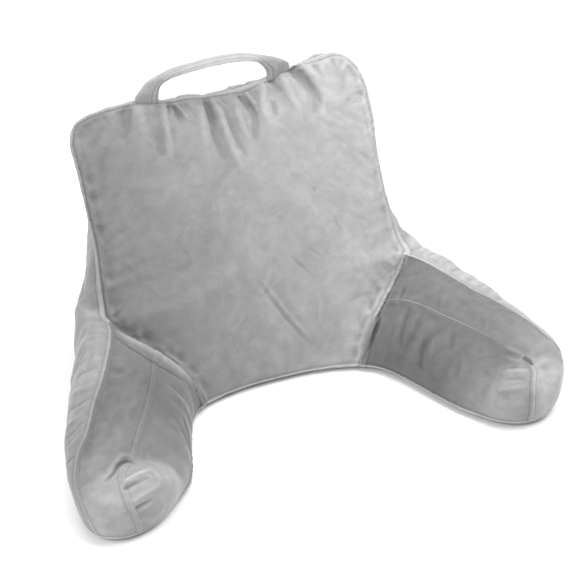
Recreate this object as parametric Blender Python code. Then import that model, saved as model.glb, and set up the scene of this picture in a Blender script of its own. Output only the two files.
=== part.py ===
"""Reading pillow with arms: a filled back, two filled arms and a carrying strap.

Metres, +Z up. The sitter leans on the front panel, which faces -Y. The pillow stands
on its flat underside at z = 0, and the origin is the middle of its footprint.
"""
import math

import bmesh
import bpy
import numpy as np

# ---------------------------------------------------------------- driving sizes
CORNER_RADIUS = 0.034       # top corners of the front panel
CLOTH_GAP = 0.0003          # air between two pieces that touch
BASE_RISE = 0.010           # height of the base seam above the floor
BASE_TUCK = 0.009           # how far the underside draws in from the base seam
MITRE_LIMIT = 0.6           # keeps the tuck short at a sharp corner of the base
SAME_POINT = 0.00002        # points nearer than this are one point
STRAP_THICKNESS = 0.0026    # velour folded to four layers
STRAP_ROOT = 0.0995         # middle of each strap end, from the centre line

# Joint between back and arm: a standing plane through these two points (x, y).
JOINT_FOOT = (0.118, -0.098)
JOINT_TOP = (0.226, -0.016)

# Joint seam in that plane, from foot to top: distance along the plane, height.
JOINT_SEAM = [
    (0.000, 0.010),
    (0.017, 0.040),
    (0.040, 0.066),
    (0.068, 0.083),
    (0.092, 0.092),
    (0.115, 0.105),
    (0.1356, 0.125),
]

# Outer side of pillow in the same plane, from the floor up to the joint's top.
JOINT_OUTSIDE = [
    (0.174, 0.010),
    (0.183, 0.030),
    (0.188, 0.060),
    (0.187, 0.090),
    (0.182, 0.115),
    (0.172, 0.134),
    (0.156, 0.141),
    (0.1356, 0.125),
]

# Side edge of the front panel above the joint: x, y, z up to where the corner starts.
SIDE_EDGE = [
    (0.2260, -0.016, 0.125),
    (0.2245, 0.003, 0.143),
    (0.2225, 0.020, 0.170),
    (0.2210, 0.040, 0.209),
    (0.2215, 0.060, 0.250),
    (0.2225, 0.082, 0.291),
    (0.2235, 0.108, 0.328),
]
RIGHT_TRIM = 0.014          # the right half is this share narrower above the arms,
TRIM_HEIGHTS = (0.14, 0.22)     # fading in between these heights
TOP_SEAM_Y = 0.150          # top seam of the front panel
SAG_FROM = 0.22             # above this height the panel follows the top seam's sag
TOP_SEAM = [                # x, height: it sags where the gathers pull it down
    (-0.190, 0.350),
    (-0.160, 0.357),
    (-0.120, 0.361),
    (-0.070, 0.352),
    (0.000, 0.348),
    (0.045, 0.348),
    (0.085, 0.358),
    (0.120, 0.371),
    (0.160, 0.376),
    (0.190, 0.380),
]

# Middle of the front panel from the foot up: y, z. It stands 3 cm proud of its edges.
FRONT_MIDDLE = [
    (-0.078, 0.010),
    (-0.081, 0.045),
    (-0.066, 0.095),
    (-0.037, 0.150),
    (0.000, 0.205),
    (0.040, 0.258),
    (0.079, 0.300),
    (0.114, 0.330),
    (0.138, 0.345),
    (0.150, 0.350),
]

# Rear panel: side edge x, y, z from the floor to the corner, and its middle y, z.
REAR_EDGE = [
    (0.190, 0.150, 0.010),
    (0.197, 0.156, 0.060),
    (0.196, 0.160, 0.120),
    (0.190, 0.164, 0.190),
    (0.187, 0.174, 0.245),
    (0.184, 0.186, 0.285),
]
REAR_CORNER_RADIUS = 0.030
REAR_TOP = (0.206, 0.312)
REAR_MIDDLE = [
    (0.168, 0.010),
    (0.186, 0.060),
    (0.198, 0.130),
    (0.208, 0.200),
    (0.216, 0.260),
    (0.214, 0.300),
    (0.206, 0.312),
]

FRONT_FULLNESS = 2.5        # crown exponents: higher is flatter in the middle
REAR_FULLNESS = 2.6
GUSSET_CROWN = 0.008        # the top gusset swells between its seams
GUSSET_OUT = (0.0, 0.56, 0.83)  # the way the top gusset faces
SIDE_CROWN = [              # height, swell of the side band
    (0.000, 0.003),
    (0.110, 0.003),
    (0.130, 0.006),
    (0.150, 0.008),
    (0.175, 0.006),
    (0.215, 0.003),
    (0.300, 0.005),
    (0.350, 0.008),
]
SHOULDER = [                # height, reach of the bulge just behind the joint
    (0.100, 0.000),
    (0.118, 0.026),
    (0.130, 0.028),
    (0.145, 0.025),
    (0.165, 0.015),
    (0.185, 0.006),
    (0.205, 0.000),
]
SHOULDER_ROWS = 4           # rows below the joint's top that take part in it
SHOULDER_AT = 0.20          # where along the side band it stands out most
TOP_CORNER_RISE = 0.036     # from the end of the side edge up to the top seam

# Flat seam round the front panel: distance in from the edge, rise.
WELT = [(0.0, 0.0), (0.0045, 0.0024), (0.009, -0.0010), (0.015, 0.0), (1.0, 0.0)]
WELT_COLUMNS = (0.0, 0.020, 0.040)  # columns that carry it, shares of the half width

# Gathers of the front panel: x at the top, x at the lower end, start and end measured
# down from the top seam, half width, rise (a trough is negative).
GATHERS = [
    (-0.127, -0.150, 0.000, 0.080, 0.010, -0.0045),
    (-0.116, -0.115, 0.010, 0.065, 0.009, 0.0030),
    (-0.098, -0.104, 0.035, 0.100, 0.008, -0.0035),
    (-0.078, -0.093, 0.000, 0.105, 0.009, 0.0050),
    (-0.062, -0.062, 0.000, 0.050, 0.008, -0.0050),
    (-0.052, -0.044, 0.000, 0.045, 0.008, 0.0030),
    (-0.030, -0.038, 0.010, 0.100, 0.011, 0.0045),
    (-0.014, -0.017, 0.000, 0.120, 0.010, -0.0075),
    (-0.002, 0.007, 0.000, 0.145, 0.010, 0.0050),
    (0.010, 0.016, 0.015, 0.115, 0.009, -0.0045),
    (0.026, 0.026, 0.012, 0.095, 0.008, 0.0040),
    (0.041, 0.040, 0.000, 0.095, 0.010, -0.0060),
    (0.067, 0.066, 0.000, 0.085, 0.011, 0.0050),
    (0.084, 0.076, 0.000, 0.070, 0.009, -0.0045),
    (0.101, 0.118, 0.000, 0.090, 0.010, 0.0050),
    (0.119, 0.141, 0.000, 0.090, 0.012, -0.0090),
    (0.139, 0.162, 0.000, 0.060, 0.011, 0.0045),
    (-0.014, 0.049, 0.265, 0.385, 0.010, -0.0030),
    (0.041, 0.069, 0.240, 0.295, 0.009, -0.0020),
    (0.119, 0.132, 0.205, 0.265, 0.009, -0.0020),
]

# The gathers flatten out this close to the top seam, the side seam and a strap root.
SEAM_HOLD = 0.012
SIDE_HOLD = 0.020
STRAP_HOLD = 0.030
STRAP_SHARE = 0.4           # height that a gather keeps at a strap root
GATHER_HEAD = 0.15          # a gather's head runs on this share above its start
GATHER_SPREAD = 0.5         # and it widens by this share towards its lower end
GATHER_FADE = 0.8           # exponent: lower holds a gather's height for longer
CREASE_FROM = 0.05          # marks that start below this are creases, faded at both ends

# Arm sections from the joint to the pucker, right arm. Foot of the inner wall, spine
# (the seam along the top), outer seam, widest line of the side band, outer foot.
SECTION_COLUMNS = ("foot_x", "foot_y", "spine_x", "spine_y", "spine_z",
                   "seam_x", "seam_y", "seam_z", "wide_x", "wide_y", "out_x", "out_y")
SECTIONS = [
    (0.118, -0.098, 0.1717, -0.0572, 0.083, 0.226, -0.016, 0.125, 0.265, 0.014, 0.2550, 0.0060),
    (0.138, -0.113, 0.183, -0.088, 0.099, 0.232, -0.048, 0.134, 0.281, -0.024, 0.274, -0.029),
    (0.154, -0.138, 0.198, -0.121, 0.105, 0.247, -0.088, 0.133, 0.300, -0.064, 0.293, -0.066),
    (0.167, -0.170, 0.213, -0.158, 0.106, 0.270, -0.130, 0.121, 0.317, -0.108, 0.309, -0.110),
    (0.180, -0.205, 0.235, -0.200, 0.104, 0.297, -0.172, 0.110, 0.335, -0.152, 0.327, -0.155),
    (0.191, -0.235, 0.260, -0.237, 0.094, 0.322, -0.214, 0.099, 0.349, -0.194, 0.340, -0.198),
    (0.201, -0.256, 0.285, -0.264, 0.070, 0.340, -0.240, 0.082, 0.356, -0.232, 0.347, -0.235),
]
# Swells by section: inner wall, top between its two seams, and the side band, which
# runs out from its seam before it turns down.
SWELL_COLUMNS = ("wall", "top", "crest_out", "crest_up")
SWELLS = [
    (0.010, -0.003, 0.030, 0.005),
    (0.015, 0.004, 0.029, 0.001),
    (0.017, 0.008, 0.028, 0.000),
    (0.018, 0.009, 0.028, 0.000),
    (0.018, 0.009, 0.026, 0.001),
    (0.018, 0.010, 0.018, -0.003),
    (0.018, 0.014, 0.010, -0.008),
]

WIDEST_AT = 0.50            # height of the band's widest line, share of its seam's height
CREST_ROUND = 0.006         # fullness of the turn below the crest
SPINE_SHARE = 0.50          # the arm's top seam starts halfway up the joint seam

# Foot of each arm's rounded end, from the inner wall round to the outer side: x, y.
# The left arm is squarer at its outer corner than the right one.
END_FOOT = {
    "arm_left": [
        (0.201, -0.256),
        (0.215, -0.271),
        (0.234, -0.288),
        (0.257, -0.307),
        (0.286, -0.320),
        (0.318, -0.322),
        (0.343, -0.309),
        (0.353, -0.276),
        (0.347, -0.235),
    ],
    "arm_right": [
        (0.201, -0.256),
        (0.214, -0.276),
        (0.232, -0.297),
        (0.255, -0.310),
        (0.280, -0.313),
        (0.307, -0.303),
        (0.327, -0.283),
        (0.342, -0.261),
        (0.347, -0.235),
    ],
}
END_SWELL = 0.007           # the end bulges beyond its foot, at the height below
END_WIDE_Z = 0.034
END_SHOULDER = (0.60, 0.076)    # share of the way out to the foot, height
END_INSIDE = 0.25           # share of the way out where the top is still level
END_ROUND = 0.009           # fullness of the turn below the shoulder
END_BLEND = 0.22            # share of the walk where the end takes over from the sides
PUCKER = (0.287, -0.270, 0.061)

# Creases of an arm: where they start and end on the column and row grid (shares of the
# round walk along the wall and of the way up), half width in columns, rise.
ARM_CREASES = [
    # start, end, low, high, half_width, rise
    (0.10, 0.12, 0.10, 0.75, 0.014, -0.0030),
    (0.165, 0.155, 0.05, 0.80, 0.012, -0.0028),
    (0.235, 0.225, 0.05, 0.70, 0.013, -0.0022),
    (0.345, 0.395, 0.45, 1.00, 0.016, 0.0040),
    (0.375, 0.425, 0.40, 1.00, 0.012, -0.0040),
    (0.445, 0.470, 0.55, 1.00, 0.014, 0.0035),
    (0.560, 0.520, 0.55, 1.00, 0.016, -0.0045),
    (0.620, 0.575, 0.45, 0.95, 0.016, 0.0035),
    (0.720, 0.735, 0.10, 0.55, 0.012, -0.0028),
    (0.800, 0.790, 0.15, 0.58, 0.012, -0.0030),
    (0.880, 0.890, 0.10, 0.60, 0.012, -0.0035),
    (0.945, 0.955, 0.20, 0.60, 0.010, -0.0030),
]
DART_AT = 0.500             # share of the walk where the dart comes down the end
DART_HALF_WIDTH = 0.010
DART_RISE = 0.0016
SPINE_RISE = 0.0014         # the stitched seam along the arm stands up this much
SPINE_START = 0.05          # share of the walk over which that seam comes up
ROOT_FADE = 0.04            # share of the walk over which creases start at the joint

# Strap: its outer edge, which turns to the rear, and its inner edge, which turns to the
# front, from the left root to the right one.
STRAP_COLUMNS = ("outer_x", "outer_y", "outer_z", "inner_x", "inner_y", "inner_z")
STRAP = [
    (-0.1170, 0.1500, 0.3630, -0.0820, 0.1500, 0.3560),
    (-0.1115, 0.1500, 0.3730, -0.0815, 0.1490, 0.3690),
    (-0.1000, 0.1510, 0.3850, -0.0790, 0.1460, 0.3800),
    (-0.0810, 0.1530, 0.3925, -0.0700, 0.1400, 0.3895),
    (-0.0580, 0.1550, 0.3985, -0.0500, 0.1330, 0.3975),
    (-0.0320, 0.1565, 0.4005, -0.0290, 0.1290, 0.4020),
    (0.0000, 0.1570, 0.4035, 0.0000, 0.1270, 0.4050),
    (0.0280, 0.1570, 0.4035, 0.0250, 0.1275, 0.4045),
    (0.0540, 0.1565, 0.4000, 0.0480, 0.1300, 0.4005),
    (0.0790, 0.1545, 0.3935, 0.0630, 0.1370, 0.3925),
    (0.1000, 0.1520, 0.3870, 0.0740, 0.1450, 0.3810),
    (0.1170, 0.1500, 0.3770, 0.0820, 0.1500, 0.3700),
]
STRAP_ARCH = 0.0055         # the strap's middle stands up this much, towards its front edge
STRAP_LEAN = 1.5            # exponent: above 1 moves the arch's crest to the front edge
STRAP_EDGE = 0.55           # its edges are this share of its thickness
STRAP_CLEAR = 0.0004        # its ends stop this far above the top seam

# Counts of faces along each run.
JOINT_ROWS = 9
SIDE_ROWS = 12
CORNER_ANGLES = (18, 36, 51, 63, 90)
PANEL_COLUMNS = 54
BAND_STEPS = 6
ARM_COLUMNS = 22
END_COLUMNS = 26
BAND_ROWS = 9
TOP_ROWS = 6
STRAP_STEPS = 44
STRAP_FACES = 4

VELOUR = (0.42, 0.42, 0.43, 1.0)


# ---------------------------------------------------------------- curves
def spline(points, shares):
    """Points of a smooth curve through the given ones, at shares (0 to 1) of its length."""
    points = np.array(points, dtype=float)
    steps = np.linalg.norm(np.diff(points, axis=0), axis=1)
    knots = np.concatenate([[0.0], np.cumsum(steps)]) / steps.sum()
    slopes = np.gradient(points, knots, axis=0)
    out = []
    for share in np.clip(np.atleast_1d(shares), 0.0, 1.0):
        i = min(int(np.searchsorted(knots, share, side="right")) - 1, len(knots) - 2)
        span = knots[i + 1] - knots[i]
        u = (share - knots[i]) / span
        out.append((2 * u ** 3 - 3 * u ** 2 + 1) * points[i]
                   + (u ** 3 - 2 * u ** 2 + u) * span * slopes[i]
                   + (3 * u ** 2 - 2 * u ** 3) * points[i + 1]
                   + (u ** 3 - u ** 2) * span * slopes[i + 1])
    return np.array(out)


def domed(share):
    """Swell of a cloth strip across its width: 0 at both seams, 1 in the middle."""
    return (4.0 * share * (1.0 - share)) ** 0.7


def picked(table, names, *wanted):
    """The wanted columns of a table, by name."""
    return np.array(table)[:, [names.index(name) for name in wanted]]


def even(count):
    return np.linspace(0.0, 1.0, count + 1)


def unit(vector):
    return vector / max(float(np.linalg.norm(vector)), 1e-9)


def joint_point(along, height):
    """A point of the joint plane, right side."""
    foot, top = np.array(JOINT_FOOT), np.array(JOINT_TOP)
    place = foot + (top - foot) / np.linalg.norm(top - foot) * along
    return np.array([place[0], place[1], height])


def joint_normal():
    """Horizontal normal of the joint plane, pointing into the right arm."""
    run = np.subtract(JOINT_TOP, JOINT_FOOT)
    run = run / np.linalg.norm(run)
    return np.array([run[1], -run[0], 0.0])


def behind_joint(point, gap):
    """Moves a point of the back that bulges past the joint plane back onto it."""
    side = 1.0 if point[0] >= 0.0 else -1.0
    mirrored = point * (side, 1.0, 1.0)
    past = float(np.dot(mirrored - joint_point(0.0, 0.0), joint_normal())) + gap
    if past > 0.0 and mirrored[0] > JOINT_FOOT[0] - 0.01:
        mirrored = mirrored - joint_normal() * past
    return mirrored * (side, 1.0, 1.0)


def top_seam_height(x):
    table = np.array(TOP_SEAM)
    return float(np.interp(x, table[:, 0], table[:, 1]))


# ---------------------------------------------------------------- front and rear panels
def front_edge():
    """Right edge of the front panel from its foot to the end of the top corner's arc."""
    joint = [joint_point(*row) for row in spline(JOINT_SEAM, even(JOINT_ROWS))]
    side = list(spline(SIDE_EDGE, even(SIDE_ROWS)))[1:]
    start = side[-1]
    end_y, end_z = TOP_SEAM_Y, start[2] + TOP_CORNER_RISE
    corner = []
    for angle in CORNER_ANGLES:
        turn = math.radians(angle)
        corner.append(np.array([start[0] - CORNER_RADIUS * (1 - math.cos(turn)),
                                start[1] + (end_y - start[1]) * math.sin(turn),
                                start[2] + (end_z - start[2]) * math.sin(turn)]))
    return joint + side + corner


def rear_edge():
    """Right edge of the rear panel, point for point opposite the front edge."""
    rows = JOINT_ROWS + SIDE_ROWS
    side = list(spline(REAR_EDGE, even(rows)))
    start = side[-1]
    corner = []
    for angle in CORNER_ANGLES:
        turn = math.radians(angle)
        corner.append(np.array([start[0] - REAR_CORNER_RADIUS * (1 - math.cos(turn)),
                                start[1] + (REAR_TOP[0] - start[1]) * math.sin(turn),
                                start[2] + (REAR_TOP[1] - start[2]) * math.sin(turn)]))
    return side + corner


def column_shares():
    """Places of the panel's columns, -1 to 1, close together at the seams."""
    inner = np.linspace(WELT_COLUMNS[-1], 1.0, PANEL_COLUMNS // 2 - 1)[1:]
    half = np.concatenate([WELT_COLUMNS, inner])
    return np.concatenate([-1.0 + half, (1.0 - half)[::-1][1:]])


def panel(edge, middle, fullness):
    """Rows of points between the left and the right edge, crowned towards the middle."""
    lengths = np.linalg.norm(np.diff([p[1:] for p in edge], axis=0), axis=1)
    shares = np.concatenate([[0.0], np.cumsum(lengths)]) / lengths.sum()
    rows = []
    for corner, centre in zip(edge, spline(middle, shares)):
        row = []
        for across in column_shares():
            pull = 1.0 - abs(across) ** fullness
            yz = corner[1:] + (centre - corner[1:]) * pull
            row.append(np.array([corner[0] * across, yz[0], yz[1]]))
        rows.append(row)
    return np.array(rows)


def normals_of(grid):
    """Unit normals of a grid of points, from its rows and columns."""
    along = np.gradient(grid, axis=1)
    up = np.gradient(grid, axis=0)
    normal = np.cross(along, up)
    return normal / np.maximum(np.linalg.norm(normal, axis=2, keepdims=True), 1e-9)


def gather_rise(x, down):
    """Height of the gathers at a place on the front panel."""
    total = 0.0
    for top_x, low_x, start, end, half_width, rise in GATHERS:
        share = (down - start) / (end - start)
        if share < -GATHER_HEAD or share > 1.0:
            continue
        middle = top_x + (low_x - top_x) * share
        fade = math.cos(0.5 * math.pi * max(share, 0.0)) ** GATHER_FADE
        if start > CREASE_FROM:
            fade = math.sin(math.pi * max(share, 0.0))
        widened = half_width * (1.0 + GATHER_SPREAD * max(share, 0.0))
        total += rise * fade * math.exp(-((x - middle) / widened) ** 2)
    return total


def front_panel():
    """The crowned front panel with its top seam's sag, flat edge seam and gathers."""
    edge = front_edge()
    grid = panel(edge, FRONT_MIDDLE, FRONT_FULLNESS)
    height_end = edge[-1][2]
    for r in range(grid.shape[0]):
        weight = max(0.0, (edge[r][2] - SAG_FROM) / (height_end - SAG_FROM)) ** 2
        trim = float(np.interp(edge[r][2], TRIM_HEIGHTS, (0.0, RIGHT_TRIM)))
        for c in range(grid.shape[1]):
            if grid[r, c, 0] > 0.0:
                grid[r, c, 0] *= 1.0 - trim
            middle = height_end + (FRONT_MIDDLE[-1][1] - height_end) * (
                1.0 - abs(column_shares()[c]) ** FRONT_FULLNESS)
            grid[r, c, 2] += (top_seam_height(grid[r, c, 0]) - middle) * weight
    normal = normals_of(grid)
    down = np.linalg.norm(np.diff(grid, axis=0), axis=2)
    from_top = np.vstack([np.cumsum(down[::-1], axis=0)[::-1], np.zeros(grid.shape[1])])
    from_foot = np.vstack([np.zeros(grid.shape[1]), np.cumsum(down, axis=0)])
    welt = np.array(WELT)
    raised = grid.copy()
    for r in range(grid.shape[0]):
        half = edge[r][0]
        for c, across in enumerate(column_shares()):
            inward = min((1.0 - abs(across)) * half, from_top[r, c], from_foot[r, c])
            rise = float(np.interp(inward, welt[:, 0], welt[:, 1]))
            near_strap = min(abs(abs(grid[r, c, 0]) - STRAP_ROOT) / STRAP_HOLD, 1.0)
            seam_fade = min(from_top[r, c] / SEAM_HOLD, 1.0) * (
                STRAP_SHARE + (1.0 - STRAP_SHARE) * near_strap)
            side_fade = min((1.0 - abs(across)) * half / SIDE_HOLD, 1.0)
            rise += gather_rise(grid[r, c, 0], from_top[r, c]) * seam_fade * side_fade
            raised[r, c] = grid[r, c] + normal[r, c] * rise
    return raised


# ---------------------------------------------------------------- meshes
class Shell:
    """Collects grids and polygons of points into one closed mesh."""

    def __init__(self):
        self.bm = bmesh.new()

    def grid(self, rows):
        verts = [[self.bm.verts.new(p) for p in row] for row in rows]
        for low, high in zip(verts, verts[1:]):
            for i in range(len(low) - 1):
                self.bm.faces.new((low[i], low[i + 1], high[i + 1], high[i]))

    def polygon(self, points):
        self.bm.faces.new([self.bm.verts.new(p) for p in points])

    def finish(self, name, material):
        bmesh.ops.remove_doubles(self.bm, verts=self.bm.verts, dist=SAME_POINT)
        bmesh.ops.dissolve_degenerate(self.bm, edges=self.bm.edges, dist=SAME_POINT)
        bmesh.ops.recalc_face_normals(self.bm, faces=self.bm.faces)
        mesh = bpy.data.meshes.new(name)
        self.bm.to_mesh(mesh)
        self.bm.free()
        mesh.shade_smooth()
        mesh.materials.append(material)
        piece = bpy.data.objects.new(name, mesh)
        bpy.context.scene.collection.objects.link(piece)
        return piece


def tucked(outline):
    """Foot ring on the floor: the outline drawn in by BASE_TUCK."""
    points = np.array(outline)[:, :2]
    ring = []
    count = len(points)
    area = 0.0
    for i in range(count):
        a, b = points[i], points[(i + 1) % count]
        area += a[0] * b[1] - b[0] * a[1]
    sign = 1.0 if area > 0.0 else -1.0
    for i in range(count):
        before = unit(points[i] - points[i - 1])
        after = unit(points[(i + 1) % count] - points[i])
        run = unit(before + after)
        inward = np.array([-run[1], run[0]]) * sign
        place = points[i] + inward * BASE_TUCK / max(float(np.dot(run, after)), MITRE_LIMIT)
        ring.append(np.array([place[0], place[1], 0.0]))
    return ring


def add_tuck(shell, outline):
    """Joins the base seam to the floor and gives the foot ring."""
    ring = tucked(outline)
    shell.grid([list(outline) + [outline[0]], ring + [ring[0]]])
    return ring


def back_cushion(material):
    front = front_panel()
    rear = panel(rear_edge(), REAR_MIDDLE, REAR_FULLNESS)
    for r in range(front.shape[0]):
        for c in range(front.shape[1]):
            front[r, c] = behind_joint(front[r, c], CLOTH_GAP / 2)
    shell = Shell()
    shell.grid(front)
    shell.grid(rear)
    outside = [joint_point(*row) for row in spline(JOINT_OUTSIDE, even(JOINT_ROWS))]
    base = {}
    for side, column in ((1.0, -1), (-1.0, 0)):
        flip = np.array([side, 1.0, 1.0])
        seam = [front[r, column] for r in range(JOINT_ROWS + 1)]
        outer = [behind_joint(p * flip, CLOTH_GAP / 2) for p in outside]
        outer[-1] = seam[-1]
        shell.polygon(seam + outer[:-1][::-1])
        starts = outer + [front[r, column] for r in range(JOINT_ROWS + 1, front.shape[0])]
        band = []
        for r, start in enumerate(starts):
            end = rear[r, column]
            crown = float(np.interp(start[2], *np.transpose(SIDE_CROWN)))
            turn = 0.0
            if r > JOINT_ROWS + SIDE_ROWS:
                turn = math.radians(CORNER_ANGLES[r - JOINT_ROWS - SIDE_ROWS - 1])
            out = np.array([math.cos(turn) * side, 0.0, 0.0]) + np.array(GUSSET_OUT) * math.sin(turn)
            taking = min(max((r - JOINT_ROWS) / SHOULDER_ROWS + 1.0, 0.0), 1.0)
            shoulder = float(np.interp(start[2], *np.transpose(SHOULDER))) * taking
            row = []
            for u in even(BAND_STEPS):
                near = u / SHOULDER_AT
                swell = crown * domed(u) + shoulder * near * math.exp(1.0 - near) * (1.0 - u)
                row.append(start + (end - start) * u + out * swell)
            band.append(row)
        shell.grid(band)
        base[side] = band[0]
    gusset = []
    for c in range(front.shape[1]):
        start, end = front[-1, c], rear[-1, c]
        gusset.append([start + (end - start) * u + np.array(GUSSET_OUT) * GUSSET_CROWN * domed(u)
                       for u in even(BAND_STEPS)])
    shell.grid(gusset)
    ring = add_tuck(shell, list(front[0]) + base[1.0] + list(rear[0][::-1][1:])
                    + base[-1.0][::-1][1:])
    count, step = front.shape[1], len(base[1.0])
    right = ring[count:count + step]
    behind = ring[count + step - 1:count + step - 1 + count]
    left = ring[count + step + count - 2:]
    shell.grid([ring[:count], behind[::-1]])
    shell.polygon([ring[count - 1]] + right)
    shell.polygon([ring[0]] + left)
    return shell.finish("back_cushion", material)


# ---------------------------------------------------------------- arms
def crowned(start, end, crown, share):
    """A point between two seams, lifted square to the line between them."""
    run = end - start
    flat = np.array([run[0], run[1], 0.0])
    out = np.cross(np.cross(run, flat), run)
    length = np.linalg.norm(out)
    out = out / length if length > 1e-9 else np.array([0.0, 0.0, 1.0])
    if out[2] < 0.0:
        out = -out
    return start + run * share + out * crown * 4 * share * (1 - share)


def arm_columns(name):
    """Profiles from the foot up to the spine, walking round the arm from the joint."""
    shares = even(ARM_COLUMNS)

    def run(*names):
        return spline(picked(SECTIONS, SECTION_COLUMNS, *names), shares)

    foot = run("foot_x", "foot_y")
    spine = run("spine_x", "spine_y", "spine_z")
    seam = run("seam_x", "seam_y", "seam_z")
    wide = run("wide_x", "wide_y")
    out = run("out_x", "out_y")
    swells = spline(picked(SWELLS, SWELL_COLUMNS, "wall", "top", "crest_out", "crest_up"), shares)
    inner, outer = [], []
    for i in range(ARM_COLUMNS + 1):
        wall_crown, top_crown, crest_out, crest_up = swells[i]
        low = np.array([foot[i][0], foot[i][1], BASE_RISE])
        keys = [crowned(low, spine[i], wall_crown, s) for s in np.linspace(0.0, 1.0, 7)]
        inner.append(profile(keys[:5], keys[4:]))
        away = np.array([wide[i][0] - seam[i][0], wide[i][1] - seam[i][1]])
        away = away / np.linalg.norm(away)
        crest = np.array([seam[i][0] + away[0] * crest_out, seam[i][1] + away[1] * crest_out,
                          seam[i][2] + crest_up])
        middle_z = seam[i][2] * WIDEST_AT
        low = np.array([out[i][0], out[i][1], BASE_RISE])
        high = np.array([wide[i][0], wide[i][1], middle_z])
        turn = (crest + high) / 2 + np.array([away[0], away[1], WIDEST_AT]) * CREST_ROUND
        top = [crowned(seam[i], spine[i], top_crown, s) for s in (0.0, 0.33, 0.67, 1.0)]
        outer.append(profile([low, high, turn, crest, seam[i]], top))
    outer[0] = root_outside(outer[0])
    end = []
    first, last = inner[-1], outer[-1]
    apex = spine[-1]
    for share in even(END_COLUMNS)[1:-1]:
        place = spline(END_FOOT[name], [share])[0]
        radial = place - apex[:2]
        reach = np.linalg.norm(radial)
        radial = radial / reach
        low = np.array([place[0], place[1], BASE_RISE])
        high = np.array([*(place + radial * END_SWELL), END_WIDE_Z])
        shoulder = np.array([*(apex[:2] + radial * reach * END_SHOULDER[0]), END_SHOULDER[1]])
        mid = (high + shoulder) / 2 + np.array([radial[0], radial[1], 1.0]) * END_ROUND
        inside = np.array([*(apex[:2] + radial * reach * END_INSIDE), END_SHOULDER[1]])
        column = profile([low, high, mid, shoulder], [shoulder, inside, apex])
        blend = min(share, 1.0 - share) / END_BLEND
        if blend < 1.0:
            near = first if share < 0.5 else last
            moved = near_copy(near, apex, place)
            column = moved + (column - moved) * (3 * blend ** 2 - 2 * blend ** 3)
        end.append(column)
    return np.array(inner + end + outer[::-1])


def near_copy(column, apex, place):
    """A neighbouring profile turned about the spine so that its foot lands on a place."""
    old = column[0][:2] - apex[:2]
    new = place - apex[:2]
    scale = np.linalg.norm(new) / np.linalg.norm(old)
    turn = math.atan2(new[1], new[0]) - math.atan2(old[1], old[0])
    cos, sin = math.cos(turn) * scale, math.sin(turn) * scale
    out = []
    for point in column:
        dx, dy = point[0] - apex[0], point[1] - apex[1]
        out.append(np.array([apex[0] + dx * cos - dy * sin, apex[1] + dx * sin + dy * cos, point[2]]))
    return np.array(out)


def profile(low_keys, high_keys):
    """Rows up one profile: the band or wall, then the top, meeting at a seam."""
    low = spline(low_keys, even(BAND_ROWS))
    high = spline(high_keys, even(TOP_ROWS))
    return np.vstack([low, high[1:]])


def root_outside(column):
    """The outer profile at the joint, the same as the back's outside there."""
    low = np.array([joint_point(*row) for row in spline(JOINT_OUTSIDE, even(BAND_ROWS))])
    seam = spline(JOINT_SEAM, np.linspace(1.0, SPINE_SHARE, TOP_ROWS + 1))
    high = np.array([joint_point(*row) for row in seam])
    high[-1] = column[-1]
    return np.vstack([low, high[1:]])


def crease_rise(walk, up):
    total = 0.0
    for start, end, low, high, half_width, rise in ARM_CREASES:
        if up < low or up > high:
            continue
        share = (up - low) / (high - low)
        middle = start + (end - start) * share
        fade = math.sin(math.pi * min(max(share, 0.0), 1.0)) ** 0.7
        total += rise * fade * math.exp(-((walk - middle) / half_width) ** 2)
    dart = math.exp(-((walk - DART_AT) / DART_HALF_WIDTH) ** 2)
    total += DART_RISE * dart * min(1.0, 4.0 * (1.0 - up))
    return total


def arm(name, side, material):
    columns = arm_columns(name)
    count, rows = columns.shape[0], columns.shape[1]
    normal = -normals_of(columns)
    for c in range(1, count - 1):
        walk = c / (count - 1)
        edge_fade = min(min(walk, 1.0 - walk) / ROOT_FADE, 1.0)
        for r in range(1, rows - 1):
            up = r / (rows - 1)
            columns[c, r] += normal[c, r] * crease_rise(walk, up) * edge_fade
    for c in range(count):
        walk = c / (count - 1)
        along = min(walk, 1.0 - walk)
        columns[c, -1, 2] += SPINE_RISE * min(along / SPINE_START, 1.0)
    gap = joint_normal() * CLOTH_GAP / 2
    for c in (0, count - 1):
        columns[c] += gap
    for c in range(ARM_COLUMNS + 1):
        columns[count - 1 - c, -1] = columns[c, -1]
    for c in range(ARM_COLUMNS, count - ARM_COLUMNS):
        columns[c, -1] = PUCKER
    flip = np.array([side, 1.0, 1.0])
    columns = columns * flip
    shell = Shell()
    shell.grid(columns)
    shell.polygon(list(columns[0]) + list(columns[-1][::-1][1:]))
    ring = add_tuck(shell, [column[0] for column in columns])
    half = (count + 1) // 2
    shell.grid([ring[:half], ring[::-1][:half]])
    return shell.finish(name, material)


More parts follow.
